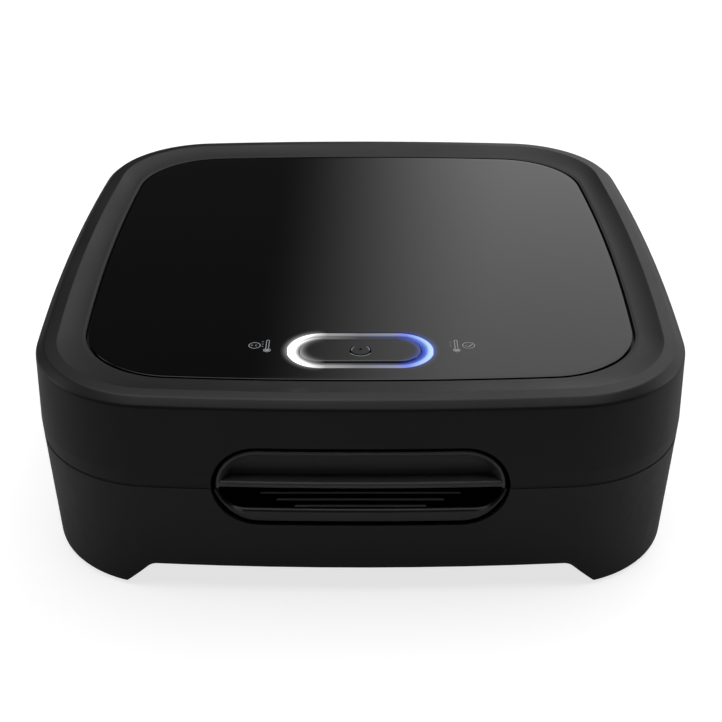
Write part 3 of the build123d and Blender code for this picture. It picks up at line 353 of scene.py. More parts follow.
def bowed_outline(half_x, half_y, corner, bow):
    """Points round a bowed rectangle: each side is an arc of sagitta bow, and each corner an arc of
    radius corner whose centre lies at R - corner from both sides' centres, so that it touches both."""
    chord_x = half_x - bow
    chord_y = half_y - bow
    front_r = (chord_x ** 2 + bow ** 2) / (2 * bow)
    side_r = (chord_y ** 2 + bow ** 2) / (2 * bow)
    front_c = np.array([0.0, front_r - half_y])
    side_c = np.array([half_x - side_r, 0.0])
    reach_f = front_r - corner
    reach_s = side_r - corner
    gap = side_c - front_c
    span = np.hypot(*gap)
    along = (reach_f ** 2 - reach_s ** 2 + span ** 2) / (2 * span)
    rise = math.sqrt(max(reach_f ** 2 - along ** 2, 0.0))
    unit = gap / span
    normal = np.array([-unit[1], unit[0]])
    options = [front_c + unit * along + normal * rise, front_c + unit * along - normal * rise]
    centre = max(options, key=lambda c: c[0] - c[1])
    to_front = (centre - front_c) / reach_f
    to_side = (centre - side_c) / reach_s
    a_front = math.atan2(to_front[1], to_front[0])
    a_side = math.atan2(to_side[1], to_side[0])
    t_front = np.linspace(-math.pi / 2, a_front, SIDE_STEPS + 1)[:-1]
    t_corner = np.linspace(a_front, a_side, CORNER_STEPS + 1)[:-1]
    t_side = np.linspace(a_side, 0, SIDE_STEPS + 1)
    quarter = np.concatenate([
        front_c + front_r * np.stack([np.cos(t_front), np.sin(t_front)], 1),
        centre + corner * np.stack([np.cos(t_corner), np.sin(t_corner)], 1),
        side_c + side_r * np.stack([np.cos(t_side), np.sin(t_side)], 1),
    ])
    upper = quarter[:-1][::-1] * [1, -1]
    right = np.concatenate([quarter, upper])
    left = right[1:-1][::-1] * [-1, 1]
    return np.concatenate([right, left])


def case_outline(inset):
    """The casing's plan drawn in by inset."""
    return bowed_outline(CASE_X - inset, CASE_DEPTH / 2 - inset, CASE_CORNER - inset, CASE_BOW)


PANEL_X = (panel_high.x - panel_low.x) / 2
PANEL_Y = (panel_high.y - panel_low.y) / 2


def panel_outline(growth):
    """The top panel's plan, grown by growth."""
    return bowed_outline(PANEL_X + growth, PANEL_Y + growth, PANEL_CORNER + growth, PANEL_BOW)


print("outline points", len(case_outline(0)))

# %% [markdown]
# A surface is a stack of such outlines at their heights. Joining each to the next, and the last to the
# first, closes a ring-shaped body such as a casing wall with its thickness.

# %% Surface helpers
def place_object(name, data):
    """A new object of this mesh, lamp or camera, at the origin of the scene."""
    thing = bpy.data.objects.new(name, data)
    bpy.context.scene.collection.objects.link(thing)
    return thing


def outward_mesh(name, verts, faces):
    """A mesh whose points closer than a micrometre are one, and whose faces all look outwards."""
    mesh = bpy.data.meshes.new(name)
    mesh.from_pydata([tuple(v) for v in verts], [], [tuple(int(i) for i in f) for f in faces])
    clean = bmesh.new()
    clean.from_mesh(mesh)
    bmesh.ops.remove_doubles(clean, verts=clean.verts, dist=1e-6)
    bmesh.ops.recalc_face_normals(clean, faces=clean.faces)
    clean.to_mesh(mesh)
    clean.free()
    return mesh


def make_piece(name, verts, faces, material, body, smooth=35.0):
    """A mesh object at the origin with smooth shading below the given edge angle, riding on a body."""
    mesh = outward_mesh(name, verts, faces)
    piece = place_object(name, mesh)
    finish_shading(piece, smooth)
    mesh.materials.append(material)
    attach(piece, body)
    print(name, "faces", len(mesh.polygons))
    return piece


def finish_shading(piece, smooth):
    """Shade the mesh smooth, with edges sharper than the angle kept crisp."""
    mesh = piece.data
    mesh.polygons.foreach_set("use_smooth", np.ones(len(mesh.polygons), bool))
    mesh.set_sharp_from_angle(angle=math.radians(smooth))


def strip_faces(rows, columns, close_rows, close_columns):
    """Quads between neighbouring rows and columns of a grid whose vertices are stored row by row."""
    r = np.arange(rows if close_rows else rows - 1)
    c = np.arange(columns if close_columns else columns - 1)
    rr, cc = np.meshgrid(r, c, indexing="ij")
    r2 = (rr + 1) % rows
    c2 = (cc + 1) % columns
    quads = np.stack([rr * columns + cc, rr * columns + c2, r2 * columns + c2, r2 * columns + cc], -1)
    return quads.reshape(-1, 4)


def ring_stack(outlines, heights, closed=True):
    """Vertices and faces of outlines stacked at their heights, closed into a tube wall if asked."""
    rings = [np.column_stack([o, np.full(len(o), h)]) for o, h in zip(outlines, heights)]
    verts = np.concatenate(rings)
    verts[:, 1] += CASE_Y
    return verts, strip_faces(len(rings), len(outlines[0]), closed, True)


def round_corner(before, corner, after, radius, steps=6):
    """Points of an arc of about this radius that rounds the corner between two straight runs."""
    corner = np.array(corner, float)
    arms = [np.array(p, float) - corner for p in (before, after)]
    lengths = [np.linalg.norm(arm) for arm in arms]
    a, b = [arm / length for arm, length in zip(arms, lengths)]
    half = math.acos(np.clip(np.dot(a, b), -1, 1)) / 2
    run = min(radius / math.tan(half), 0.45 * min(lengths))
    start = corner + a * run
    end = corner + b * run
    t = np.linspace(0, 1, steps + 1)[:, None]
    return (1 - t) ** 2 * start + 2 * t * (1 - t) * corner + t ** 2 * end


def rounded_profile(points):
    """A profile whose corners, given as (inset, height, radius), are each rounded by their radius."""
    out = []
    count = len(points)
    for i, (x, z, radius) in enumerate(points):
        before = points[(i - 1) % count][:2]
        after = points[(i + 1) % count][:2]
        if radius <= 0:
            out.append(np.array([[x, z]]))
        else:
            out.append(round_corner(before, (x, z), after, radius))
    return np.concatenate(out)

# %% [markdown]
# Pieces whose solid already has the right form are kept as they are, with a finish of their own. Where
# the eye gets close, a copy of the solid is joined up, its crisp edges get the small radius that every
# moulding tool leaves, and its flat faces keep their own normals.

# %% Softened copies
def merged_mesh(node):
    """A copy of a solid's triangles, joined where they meet."""
    mesh = nodes[node].data.copy()
    mesh.name = node + "_soft"
    joined = bmesh.new()
    joined.from_mesh(mesh)
    bmesh.ops.remove_doubles(joined, verts=joined.verts, dist=2e-6)
    bmesh.ops.dissolve_limit(joined, angle_limit=math.radians(0.05), verts=joined.verts, edges=joined.edges)
    joined.to_mesh(mesh)
    joined.free()
    return mesh


def round_edges(piece, radius):
    """A bevel of this radius (mm) on the piece's sharp edges."""
    edge = piece.modifiers.new("edge radius", "BEVEL")
    edge.width = radius * MM
    edge.segments = 2
    edge.limit_method = "ANGLE"
    return edge


def soften(node, material, radius, smooth=30.0):
    """A softened copy of a solid: edges sharper than the angle get this radius, shading is smooth."""
    mesh = merged_mesh(node)
    mesh.materials.clear()
    mesh.materials.append(material)
    piece = place_object(node + "_soft", mesh)
    finish_shading(piece, smooth)
    edge = round_edges(piece, radius)
    edge.angle_limit = math.radians(smooth)
    edge.miter_outer = "MITER_ARC"
    piece.modifiers.new("flat faces", "WEIGHTED_NORMAL")
    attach(piece, nodes[node]["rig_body"])
    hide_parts(node)
    return piece


# %% [markdown]
# The lid casing is one moulding: a wall that leans in as it rises, a chamfer, a narrow land, a crest and
# a concave dish that drops to the gap round the panel. It is a profile carried round the outline, and
# its inner end changes from the casing's outline to the panel's, which is squarer.

# %% Lid casing
CREST_IN = 10.3
DISH_WIDE = 11.7
CREST_INSET = CREST_IN * MM
DISH_RUN = DISH_WIDE * MM
PANEL_GAP = 0.9 * MM


def lid_outline(inset):
    """The casing's outline as far as the crest, then blended to the panel's over the dish, then its inset."""
    if inset <= CREST_INSET:
        return case_outline(inset)
    blend = (inset - CREST_INSET) / DISH_RUN
    if blend >= 1:
        return panel_outline(PANEL_GAP - (inset - CREST_INSET - DISH_RUN))
    return (1 - blend) * case_outline(CREST_INSET) + blend * panel_outline(PANEL_GAP)


def dish_height(blend):
    """Height over the dish: a parabola from the crest, 1.9 mm down midway and 2.9 mm down at the panel."""
    return CREST + (-4.7 * blend + 1.8 * blend ** 2) * MM


# Each profile point is an inset and a height in millimetres, and its corner's radius. The outer part
# goes up the wall and over the chamfer and the land to the crest, the inner part comes back down from
# the panel's gap to the tongue at the lid's lower edge.
DISH_END = (CREST_INSET + DISH_RUN) / MM
lid_profile = rounded_profile([
    (0.2, LID_RIM, 0.35), (0.0, KINK, 1.5), (1.3, TOP - 0.5, 2.4), (4.9, TOP + 2.5, 2.2),
    (CREST_IN, TOP + 2.9, 1.4), (CREST_IN + 0.15 * DISH_WIDE, TOP + 2.235, 0),
])
dish = np.array([(CREST_IN + t * DISH_WIDE, dish_height(t) / MM) for t in np.linspace(0.2, 0.94, 10)])
inner_profile = rounded_profile([
    (DISH_END - 0.6, TOP + 0.02, 0), (DISH_END, TOP, 0.35), (DISH_END, TOP - 3.5, 0),
    (DISH_END + 6, TOP - 3.5, 0), (DISH_END + 6, TOP - 5.5, 0), (5.2, TOP - 5.5, 0), (2.7, KINK, 0),
    (2.7, LID_RIM - 0.24, 0), (0.5, LID_RIM - 0.24, 0.05), (0.5, LID_RIM, 0),
])
profile = np.concatenate([lid_profile, dish, inner_profile])
lid_verts, lid_faces = ring_stack([lid_outline(x * MM) for x in profile[:, 0]], profile[:, 1] * MM)
lid_casing = make_piece("lid_casing", lid_verts, lid_faces, CASING, "lid", smooth=40)

# %% [markdown]
# Openings are cut once, here, and the cutting shape is thrown away. The handle pocket is a stadium, a
# slot with round ends, seen from the front, and it goes through both casings' front walls.

# %% Cutting
def cut(piece, verts, faces):
    """Take a closed shape away from a piece, and keep the result as the piece's own mesh."""
    cutter = place_object("cutter", outward_mesh("cutter", verts, faces))
    boolean = piece.modifiers.new("cut", "BOOLEAN")
    boolean.object = cutter
    boolean.operation = "DIFFERENCE"
    boolean.solver = "EXACT"
    boolean.use_self = True
    graph = bpy.context.evaluated_depsgraph_get()
    result = bpy.data.meshes.new_from_object(piece.evaluated_get(graph))
    piece.modifiers.clear()
    piece.data = result
    bpy.data.objects.remove(cutter)
    print(piece.name, "faces after cut", len(result.polygons))


def prism(outline, low, high, place):
    """A closed prism: outline points (a, b) at two depths, each put in space by place(a, b, depth)."""
    count = len(outline)
    verts = [place(a, b, low) for a, b in outline] + [place(a, b, high) for a, b in outline]
    sides = [(i, (i + 1) % count, count + (i + 1) % count, count + i) for i in range(count)]
    return verts, sides + [tuple(range(count))[::-1], tuple(range(count, 2 * count))]


def stadium(half_x, low_z, high_z, steps=24):
    """A slot's outline: straight top and bottom, and half circles of the slot's half height."""
    radius = (high_z - low_z) / 2
    middle = (high_z + low_z) / 2
    t = np.linspace(-math.pi / 2, math.pi / 2, steps + 1)
    right = np.stack([half_x - radius + radius * np.cos(t), middle + radius * np.sin(t)], 1)
    left = np.stack([radius - half_x - radius * np.cos(t), middle - radius * np.sin(t)], 1)
    return np.concatenate([right, left])


def from_front(a, b, depth):
    """Where a point of an outline seen from the front lies: a to the right, b up, depth to the back."""
    return a, depth, b


def from_side(a, b, depth):
    """Where a point of an outline seen from the side lies: a to the back, b up, depth to the right."""
    return depth, a, b


def pin_circle(radius, steps):
    """Points of a circle of this radius (mm) round the hinge pin, seen from the side."""
    return [(PIN_Y + radius * MM * math.cos(t), PIN_Z + radius * MM * math.sin(t))
            for t in np.linspace(0, 2 * math.pi, steps, endpoint=False)]


# The hinge stands 75 mm from the middle on each side, in a round notch that clears the base's ears.
HINGE_X = 75.0
NOTCH_RADIUS = 12.2
NOTCH_HALF = 12.1
pocket_outline = stadium(POCKET_HALF_X * MM, (POCKET_MID - POCKET_HALF_Z) * MM,
                         (POCKET_MID + POCKET_HALF_Z) * MM)
cut(lid_casing, *prism(pocket_outline, CASE_FRONT - 5 * MM, CASE_FRONT + 9 * MM, from_front))
for side in (-1, 1):
    cut(lid_casing, *prism(pin_circle(NOTCH_RADIUS, 64), (side * HINGE_X - NOTCH_HALF) * MM,
                           (side * HINGE_X + NOTCH_HALF) * MM, from_side))
finish_shading(lid_casing, 40)
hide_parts("lid_shell")

# %% [markdown]
# Two hinge lugs hang behind the lid's rear wall, in the notches. Each is a flat plate: a ring round the
# pin, and a web that leans back from the wall down to it. Its side view is carried across its width.

# %% Hinge lugs of the lid
LUG_HALF = 6.0
LUG_RADIUS = 4.9
BORE_RADIUS = 2.55
# The web's upper end lies inside the rear wall, 146.6 to 148 mm behind the middle.
WEB_IN, WEB_OUT = 146.6, 148.0
WEB_TOP = KINK + 11.5
lug_y = (PIN_Y - CASE_Y) / MM
lug_z = PIN_Z / MM
lower_turn = np.radians(np.linspace(180, 360, 25))
lug_side = [(lug_y + LUG_RADIUS * math.cos(t), lug_z + LUG_RADIUS * math.sin(t)) for t in lower_turn]
lug_side += [(lug_y + LUG_RADIUS, lug_z + LUG_RADIUS), (WEB_OUT, WEB_TOP), (WEB_IN, WEB_TOP),
             (WEB_IN, KINK), (lug_y - LUG_RADIUS, KINK - LUG_RADIUS)]
for side, side_name in ((-1, "left"), (1, "right")):
    low, high = (side * HINGE_X - LUG_HALF) * MM, (side * HINGE_X + LUG_HALF) * MM
    verts, faces = prism([(a * MM + CASE_Y, b * MM) for a, b in lug_side], low, high, from_side)
    lug = make_piece("hinge_lug_" + side_name, verts, faces, CASING, "lid")
    cut(lug, *prism(pin_circle(BORE_RADIUS, 40), low - MM, high + MM, from_side))
    finish_shading(lug, 35)
    round_edges(lug, 0.4)

# %% [markdown]
# The top panel is a flat plate with a pill-shaped hole for the button group. A face with a hole is made
# as a strip between the outer outline and the hole's outline, with the same number of points on each
# and matched by angle, so no face is a large n-gon that shades unevenly.

# %% Pill outline and plates with a hole
def pill_outline(growth, count):
    """A pill grown by growth: points spread evenly by arc length, starting at the front middle."""
    radius = BUTTON_Y + growth
    straight = BUTTON_X - BUTTON_Y
    length = 4 * straight + 2 * math.pi * radius
    s = np.linspace(0, length, count, endpoint=False)
    ends = [straight, straight + math.pi * radius, 3 * straight + math.pi * radius,
            3 * straight + 2 * math.pi * radius]
    turn_r = (s - ends[0]) / radius - math.pi / 2
    turn_l = (s - ends[2]) / radius + math.pi / 2
    where = [s < end for end in ends]
    x = np.select(where, [s, straight + radius * np.cos(turn_r), straight - (s - ends[1]),
                          -straight + radius * np.cos(turn_l)], s - length)
    y = np.select(where, [-radius + 0 * s, radius * np.sin(turn_r), radius + 0 * s,
                          radius * np.sin(turn_l)], -radius + 0 * s)
    return np.stack([x, y + BUTTON_MID - CASE_Y], 1)


def pill_tube(name, profile_points, material, body, count=160, cap=None):
    """A tube round the pill: each profile point is (growth in mm, height in mm); cap closes its middle."""
    pts = np.array(profile_points)
    outlines = [pill_outline(g * MM, count) for g in pts[:, 0]]
    verts, faces = ring_stack(outlines, pts[:, 1] * MM, closed=cap is None)
    faces = [tuple(f) for f in faces]
    if cap is not None:
        last = (len(pts) - 1) * count
        half = count // 2
        for ring_start in (last, 0):
            for i in range(1, half):
                a, b = ring_start + i, ring_start + (count - i) % count
                a2, b2 = ring_start + i + 1, ring_start + (count - i - 1) % count
                if i + 1 < half:
                    faces.append((a, a2, b2, b))
                else:
                    faces.append((a, a2, b))
            faces.append((ring_start, ring_start + 1, ring_start + count - 1))
    return make_piece(name, verts, faces, material, body, smooth=35)


HOLE_GROWTH = 5.75
GLASS = 2.9
EDGE_GAP = 0.3
hole_points = pill_outline(HOLE_GROWTH * MM, len(panel_outline(0)))
edge_round = rounded_profile([(0.0, TOP - GLASS, 0.0), (0.0, TOP, 0.35), (3.0, TOP, 0.0)])
outer = [panel_outline(-(x + EDGE_GAP) * MM) for x in edge_round[:, 0]]
across = [outer[-1] * (1 - t) + hole_points * t for t in np.linspace(0, 1, 7)[1:]]
panel_heights = list(edge_round[:, 1] * MM) + [PANEL_TOP] * len(across) + [PANEL_TOP - GLASS * MM]
verts, faces = ring_stack(outer + across + [hole_points], panel_heights)
panel = make_piece("panel_glass", verts, faces, PANEL, "lid", smooth=20)
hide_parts("top_panel")

# %% [markdown]
# The button group, from the outside in: the diffuser ring, a dark collar that steps down beside the
# pill, and the pill-shaped cap with a rolled edge.

# %% Button group
ring = pill_tube("ring_light", rounded_profile([
    (5.5, TOP - 3.0, 0), (5.5, TOP, 0.5), (2.6, TOP, 0.5), (2.6, TOP - 3.0, 0)]),
    RING, "lid")
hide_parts("light_ring")
cap_top = button_high.z / MM
button = pill_tube("button_cap", rounded_profile([
    (0.0, cap_top - 4.0, 0), (0.0, cap_top, 0.9), (-2.2, cap_top, 0.0)]),
    BUTTON, "button", cap=True)
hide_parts("power_button")

# %% [markdown]
# The handle pocket holds two inserts that stand a dark groove inside the casings' edge. The lid's half
# is scooped above a rolled lip that the fingers lift by. It is a depth behind the front, worked out over
# a grid: where the scoop's own profile and the slope that comes in from the insert's edge cross, the
# smaller one wins, with a soft corner between them.

# %% Lid's half of the handle pocket
INSERT_GROOVE = 2.0
INSERT_RADIUS = POCKET_HALF_Z - INSERT_GROOVE
INSERT_STRAIGHT = POCKET_HALF_X - POCKET_HALF_Z
FRONT_RADIUS = ((HALF_WIDTH - BOW) ** 2 + BOW ** 2) / (2 * BOW)
FRONT_SET = 0.9
EDGE_ROUND = 0.8
LIP_RADIUS = 1.6
INSERT_WALL = 0.9
# Depths behind the insert's front: where the floor over the lip starts and ends, of the heel where the
# scoop starts, of the scoop's upper end, of the lower edge's return, and of the skirt at the outline.
FLOOR_START, FLOOR_END = 2.4, 4.4
HEEL_DEPTH = 6.9
SCOOP_END = 0.5
RETURN_DEPTH = 24.6
SKIRT_DEPTH = 8.0
# The slope that comes in from the outline starts this far inside it, and falls this much per millimetre.
SLOPE_START, SLOPE = 1.2, 1.5


def insert_front(x):
    """The insert's front from the casing's middle: the casing's bowed front, x squared over twice its
    radius further back, and set back a little."""
    return -DEPTH / 2 + x ** 2 / (2 * FRONT_RADIUS) + FRONT_SET


def soft_min(a, b, width):
    """The smaller of two arrays, rounded over width where they cross."""
    h = np.clip(0.5 + 0.5 * (b - a) / width, 0, 1)
    return b * (1 - h) + a * h - width * h * (1 - h)


def edge_rounding(inside):
    """How far a rounded edge falls back at this distance inside it: a quarter circle."""
    t = np.clip(1 - inside / EDGE_ROUND, 0, 1)
    return EDGE_ROUND * (1 - np.sqrt(1 - t ** 2))


turn = np.linspace(0, math.pi / 2, 40)[1:]
x_right = INSERT_STRAIGHT + INSERT_RADIUS * np.sin(turn)
x_cols = np.concatenate([-x_right[::-1], np.linspace(-INSERT_STRAIGHT, INSERT_STRAIGHT, 60), x_right])
over = np.clip(np.abs(x_cols) - INSERT_STRAIGHT, 0, None)
z_top = POCKET_MID + np.sqrt(np.clip(INSERT_RADIUS ** 2 - over ** 2, 0, None))
bead = np.radians(np.linspace(-90, 90, 15))
lip = np.stack([LIP_RADIUS * (1 - np.cos(bead)), LID_RIM + LIP_RADIUS * (1 + np.sin(bead))], 1)
floor_line = np.stack([np.linspace(FLOOR_START, FLOOR_END, 5), np.full(5, LID_RIM + 2 * LIP_RADIUS)], 1)
heel_z = LID_RIM + 2 * LIP_RADIUS + 2.2
heel = round_corner(floor_line[-1], (7.1, floor_line[-1][1]), (HEEL_DEPTH, heel_z + 3), 2.4)
back_t = 1 - (1 - np.linspace(0, 1, 34)[1:]) ** 1.7
rows = np.concatenate([[(RETURN_DEPTH, LID_RIM)], lip, floor_line, heel])
wide = np.ones(len(x_cols))
start_z = rows[-1, 1]
scaled_z = start_z + back_t[:, None] * np.clip(z_top - start_z, 0, None)
z_grid = np.minimum(np.concatenate([rows[:, 1:] * wide, scaled_z]), np.maximum(z_top, LID_RIM))
share = back_t[:, None] * wide
scoop_back = HEEL_DEPTH * (1 - share ** 1.6) + SCOOP_END * share
profile_depth = np.concatenate([rows[:, :1] * wide, scoop_back])
inside = INSERT_RADIUS - np.hypot(over, np.clip(z_grid - POCKET_MID, 0, None))
slope_in = np.clip(inside - SLOPE_START, 0, None) * SLOPE
depth_grid = np.clip(soft_min(profile_depth, slope_in, 0.8), 0, None)
depth_grid[0] = rows[0, 0]
depth_grid = depth_grid + edge_rounding(inside) * (profile_depth < RETURN_DEPTH)
z_grid = np.concatenate([z_grid, z_grid[-1:]])
depth_grid = np.concatenate([depth_grid, np.full((1, len(x_cols)), SKIRT_DEPTH)])
x_grid = np.repeat(x_cols[None, :], len(z_grid), 0)


def pocket_insert(name, x, depth, z, material, body):
    """An open grid of points (mm) behind the insert's front, given the wall's thickness at its back."""
    verts = np.stack([x, insert_front(x) + depth, z], -1).reshape(-1, 3) * MM
    verts[:, 1] += CASE_Y
    piece = make_piece(name, verts, strip_faces(*x.shape, False, False), material, body, 50)
    mesh = piece.data
    if sum(p.normal.y * p.area for p in mesh.polygons) > 0:
        mesh.flip_normals()
    shell = piece.modifiers.new("wall", "SOLIDIFY")
    shell.thickness = INSERT_WALL * MM
    shell.offset = -1
    return piece


lid_grip = pocket_insert("lid_grip", x_grid, depth_grid, z_grid, GRIP_PAINTED_LIGHT, "lid")
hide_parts("lid_handle")

# %% [markdown]
# The base's half is a deep mouth behind a lip that is tall in the middle and narrows to nothing at the
# parting line. It is carried from the insert's outline, over the lip's face, round the mouth's edge and
# in to the back, so every row has the same number of points, spread evenly along its own curve.

# %% Base's half of the handle pocket
MOUTH_X = 61.0
MOUTH_EDGE = POCKET_MID - 11.7
MOUTH_CORNER = 12.3
MOUTH_DEPTH = 22.5
LIP_EDGE = 1.8


def even_points(curve, count):
    """The curve's points moved so that they are evenly spaced along its length."""
    steps = np.hypot(*np.diff(curve, axis=0).T)
    length = np.concatenate([[0], np.cumsum(steps)])
    want = np.linspace(0, length[-1], count)
    return np.stack([np.interp(want, length, curve[:, 0]), np.interp(want, length, curve[:, 1])], 1)


def u_curve(half_x, low, corner, count=181):
    """A U: down from the parting line, round a corner, along the bottom, and up the other side."""
    t = np.radians(np.linspace(180, 270, 40))
    left = np.stack([corner - half_x + corner * np.cos(t), low + corner + corner * np.sin(t)], 1)
    left[:, 1] = np.minimum(left[:, 1], BASE_RIM)
    left = np.vstack([[-half_x, BASE_RIM], left]) if low + corner < BASE_RIM else left
    right = left[::-1] * [-1, 1]
    return even_points(np.vstack([left, right]), count)


outer_u = u_curve(POCKET_HALF_X - INSERT_GROOVE, POCKET_MID - POCKET_HALF_Z + INSERT_GROOVE, INSERT_RADIUS)
mouth_u = u_curve(MOUTH_X, MOUTH_EDGE, MOUTH_CORNER)
inner_u = u_curve(MOUTH_X - 1.0, MOUTH_EDGE - 2.4, MOUTH_CORNER - 1.5)
back_u = u_curve(MOUTH_X - 4.0, MOUTH_EDGE - 2.0, MOUTH_CORNER - 3.0)
loft = [(outer_u, SKIRT_DEPTH), (outer_u, EDGE_ROUND)]
inward = mouth_u - outer_u
width = np.maximum(np.hypot(*inward.T), 0.3)[:, None]
for angle in np.radians([30, 60, 90]):
    step = np.minimum(EDGE_ROUND * (1 - math.cos(angle)) / width, 0.3)
    loft.append((outer_u + inward * step, EDGE_ROUND * (1 - math.sin(angle))))
loft += [(outer_u + inward * t, 0.0) for t in (0.45, 0.6, 0.72)]
for angle in np.radians([0, 20, 40, 60, 80]):
    back = LIP_EDGE * (1 - math.cos(angle))
    loft.append((mouth_u - inward * np.minimum(LIP_EDGE * (1 - math.sin(angle)) / width, 0.27), back))
loft += [(mouth_u, LIP_EDGE), (inner_u, 3.4), (inner_u, 12.0), (back_u, MOUTH_DEPTH)]
lift = np.column_stack([back_u[:, 0], np.full(len(back_u), BASE_RIM)])
loft += [(back_u + (lift - back_u) * t, MOUTH_DEPTH) for t in (0.5, 1.0)]
curves = np.array([curve for curve, depth in loft])
depths = np.array([depth for curve, depth in loft])[:, None]
base_grip = pocket_insert("base_grip", curves[..., 0], depths, np.minimum(curves[..., 1], BASE_RIM),
                          HANDLE_PAINTED_LIGHTER, "base")
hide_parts("finger_recess")

# %% [markdown]
# Three ribs on the mouth's floor keep the fingers from slipping. Each is a rounded bar, shorter towards
# the front, and its near-white colour is a painted highlight along its top, so it shows as a thin grey
# line in the dark.

# %% Grip ribs
# The ribs are the casing's black plastic; their near-white colour is a painted highlight.
RIB_PAINTED_HIGHLIGHT = moulded("grip rib painted highlight", "#eeeef0", 0.35, 0.3, 0.005, specular=0.6)
# Each rib's place from the casing's middle and its length, and half its width and height (mm).
rib_rows = [(-144.0, 57.0), (-139.4, 73.0), (-134.6, 88.0)]
RIB_HALF_Y, RIB_HALF_Z = 0.4, 0.6
RIB_DROP = 2.3
bar = np.radians(np.linspace(0, 360, 13)[:-1])
for number, (y, length) in enumerate(rib_rows):
    ends = np.array([-0.5, -0.49, 0.49, 0.5]) * length
    scale = np.array([0.25, 1.0, 1.0, 0.25])
    ring_x = np.repeat(ends[:, None], len(bar), 1)
    ring_y = y + RIB_HALF_Y * np.cos(bar)[None, :] * scale[:, None]
    ring_z = MOUTH_EDGE - RIB_DROP + RIB_HALF_Z * np.sin(bar)[None, :] * scale[:, None]
    verts = np.stack([ring_x, ring_y, ring_z], -1).reshape(-1, 3) * MM
    verts[:, 1] += CASE_Y
    faces = [tuple(f) for f in strip_faces(4, len(bar), False, True)]
    faces += [tuple(range(len(bar)))[::-1], tuple(range(3 * len(bar), 4 * len(bar)))]
    make_piece(f"grip_rib_{number + 1}", verts, faces, RIB_PAINTED_HIGHLIGHT, "base")

# %% [markdown]
# Small printed signs sit beside the button: heating at the left and ready at the right, each a few strokes
# of ink. A standby sign on the cap stands for an engraving drawn flat, its strokes a painted shadow and a
# painted highlight. Each stroke is a flat ribbon along a line, laid a hair above the surface it is on.

# %% Printed signs
INK_RISE = 0.04 * MM


def stroke(points, width, closed=False):
    """A flat ribbon along points (mm): each is pushed half the width to both sides along the line's
    normal, the mean of its neighbours' directions turned a quarter."""
    pts = np.array(points, float)
    if closed:
        ahead, back = np.roll(pts, -1, 0), np.roll(pts, 1, 0)
    else:
        ahead = np.vstack([pts[1:], pts[-1:]])
        back = np.vstack([pts[:1], pts[:-1]])
    run = ahead - back
    run /= np.linalg.norm(run, axis=1)[:, None]
    side = np.stack([-run[:, 1], run[:, 0]], 1) * width / 2
    verts = np.concatenate([pts + side, pts - side])
    return verts, strip_faces(2, len(pts), False, closed)[:, ::-1]


def arc(x, y, radius, start, end, steps=32):
    """Points on a circle from start to end, in degrees."""
    t = np.radians(np.linspace(start, end, steps))
    return np.stack([x + radius * np.cos(t), y + radius * np.sin(t)], 1)


def circle_stroke(x, y, radius, width):
    """A whole circle, drawn as a stroke of this width."""
    return stroke(arc(x, y, radius, 0, 360)[:-1], width, closed=True)


def print_sign(name, strokes, height, material, body):
    """One mesh of all the strokes of a sign, with x, y in mm from the casing's middle."""
    verts, faces, start = [], [], 0
    for points, face in strokes:
        verts.append(np.column_stack([points * MM, np.full(len(points), height + INK_RISE)]))
        faces.append(face + start)
        start += len(points)
    verts = np.concatenate(verts)
    verts[:, 1] += CASE_Y
    return make_piece(name, verts, np.concatenate(faces), material, body)


def thermometer(x, ticks, low=-102.6, high=-92.2, bulb=1.45, stem=0.6):
    """A bulb with a stem above it, drawn as one outline, a filled bulb, and three ticks beside it."""
    centre = low + bulb
    half = math.degrees(math.asin(stem / bulb))
    outline = np.vstack([arc(x, centre, bulb, 90 + half, 450 - half), arc(x, high - stem, stem, 0, 180)])
    marks = [stroke([(ticks[0], y), (ticks[1], y)], 0.35) for y in (-93.8, -95.8, -97.8)]
    return [stroke(outline, 0.38, closed=True), circle_stroke(x, centre, bulb * 0.35, bulb * 0.68)], marks


# Screen-printed ink, light grey, thin enough that the gloss under it shows at its edges. The same grey
# draws the painted highlight on the standby sign's near edge.
INK_AND_PAINTED_HIGHLIGHT = moulded("sign ink and painted highlight light grey", "#97999c", 0.5, 0.3, 0.003, fleck=0.1, specular=0.2)
# The standby sign stands for an engraving in the cap: its floor is painted shadow, its near edge painted
# highlight.
GROOVE_PAINTED_SHADOW = moulded("sign groove shadow", "#020202", 0.8, 0.3, 0.003, specular=0.05)
SIGN_Y = -97.0
heating, marks = thermometer(-41.0, (-43.6, -42.8))
heating += [circle_stroke(-46.7, SIGN_Y, 2.5, 0.4)]
heating += [stroke(arc(x, SIGN_Y, 0.5, 70, 290), 0.28) for x in (-47.6, -45.8)] + marks
ready, marks = thermometer(42.2, (39.4, 40.2))
ready += [circle_stroke(47.7, SIGN_Y, 2.6, 0.4),
          stroke([(46.3, SIGN_Y), (47.4, SIGN_Y - 1.4), (50.3, SIGN_Y + 2.1)], 0.45)] + marks
print_sign("heating_sign", heating, PANEL_TOP, INK_AND_PAINTED_HIGHLIGHT, "lid")
print_sign("ready_sign", ready, PANEL_TOP, INK_AND_PAINTED_HIGHLIGHT, "lid")
standby_y = (BUTTON_MID - CASE_Y) / MM
# Painted shadow: dark strokes where the engraving's floor would lie in shade.
groove = [stroke(arc(0, standby_y, 4.6, 190, 350, 48), 0.95)]
groove += [stroke(arc(0, standby_y, 4.4, start, start + 50), 0.4) for start in (140, -10)]
groove += [circle_stroke(0, standby_y + 0.6, 0.35, 0.68)]
# Painted highlight: light lines where the engraving's near edge would catch the light.
edge_painted_highlights = [stroke(arc(0, standby_y, 5.3, 215, 325, 40), 0.35)]
edge_painted_highlights += [stroke(arc(0, standby_y, 3.85, start, start + 50), 0.35) for start in (135, -5)]
print_sign("standby_painted_shadow", groove, button_high.z, GROOVE_PAINTED_SHADOW, "button")
print_sign("standby_painted_highlight", edge_painted_highlights, button_high.z, INK_AND_PAINTED_HIGHLIGHT, "button")

# %% [markdown]
# The finishes of all the pieces that keep their own solid, by name.

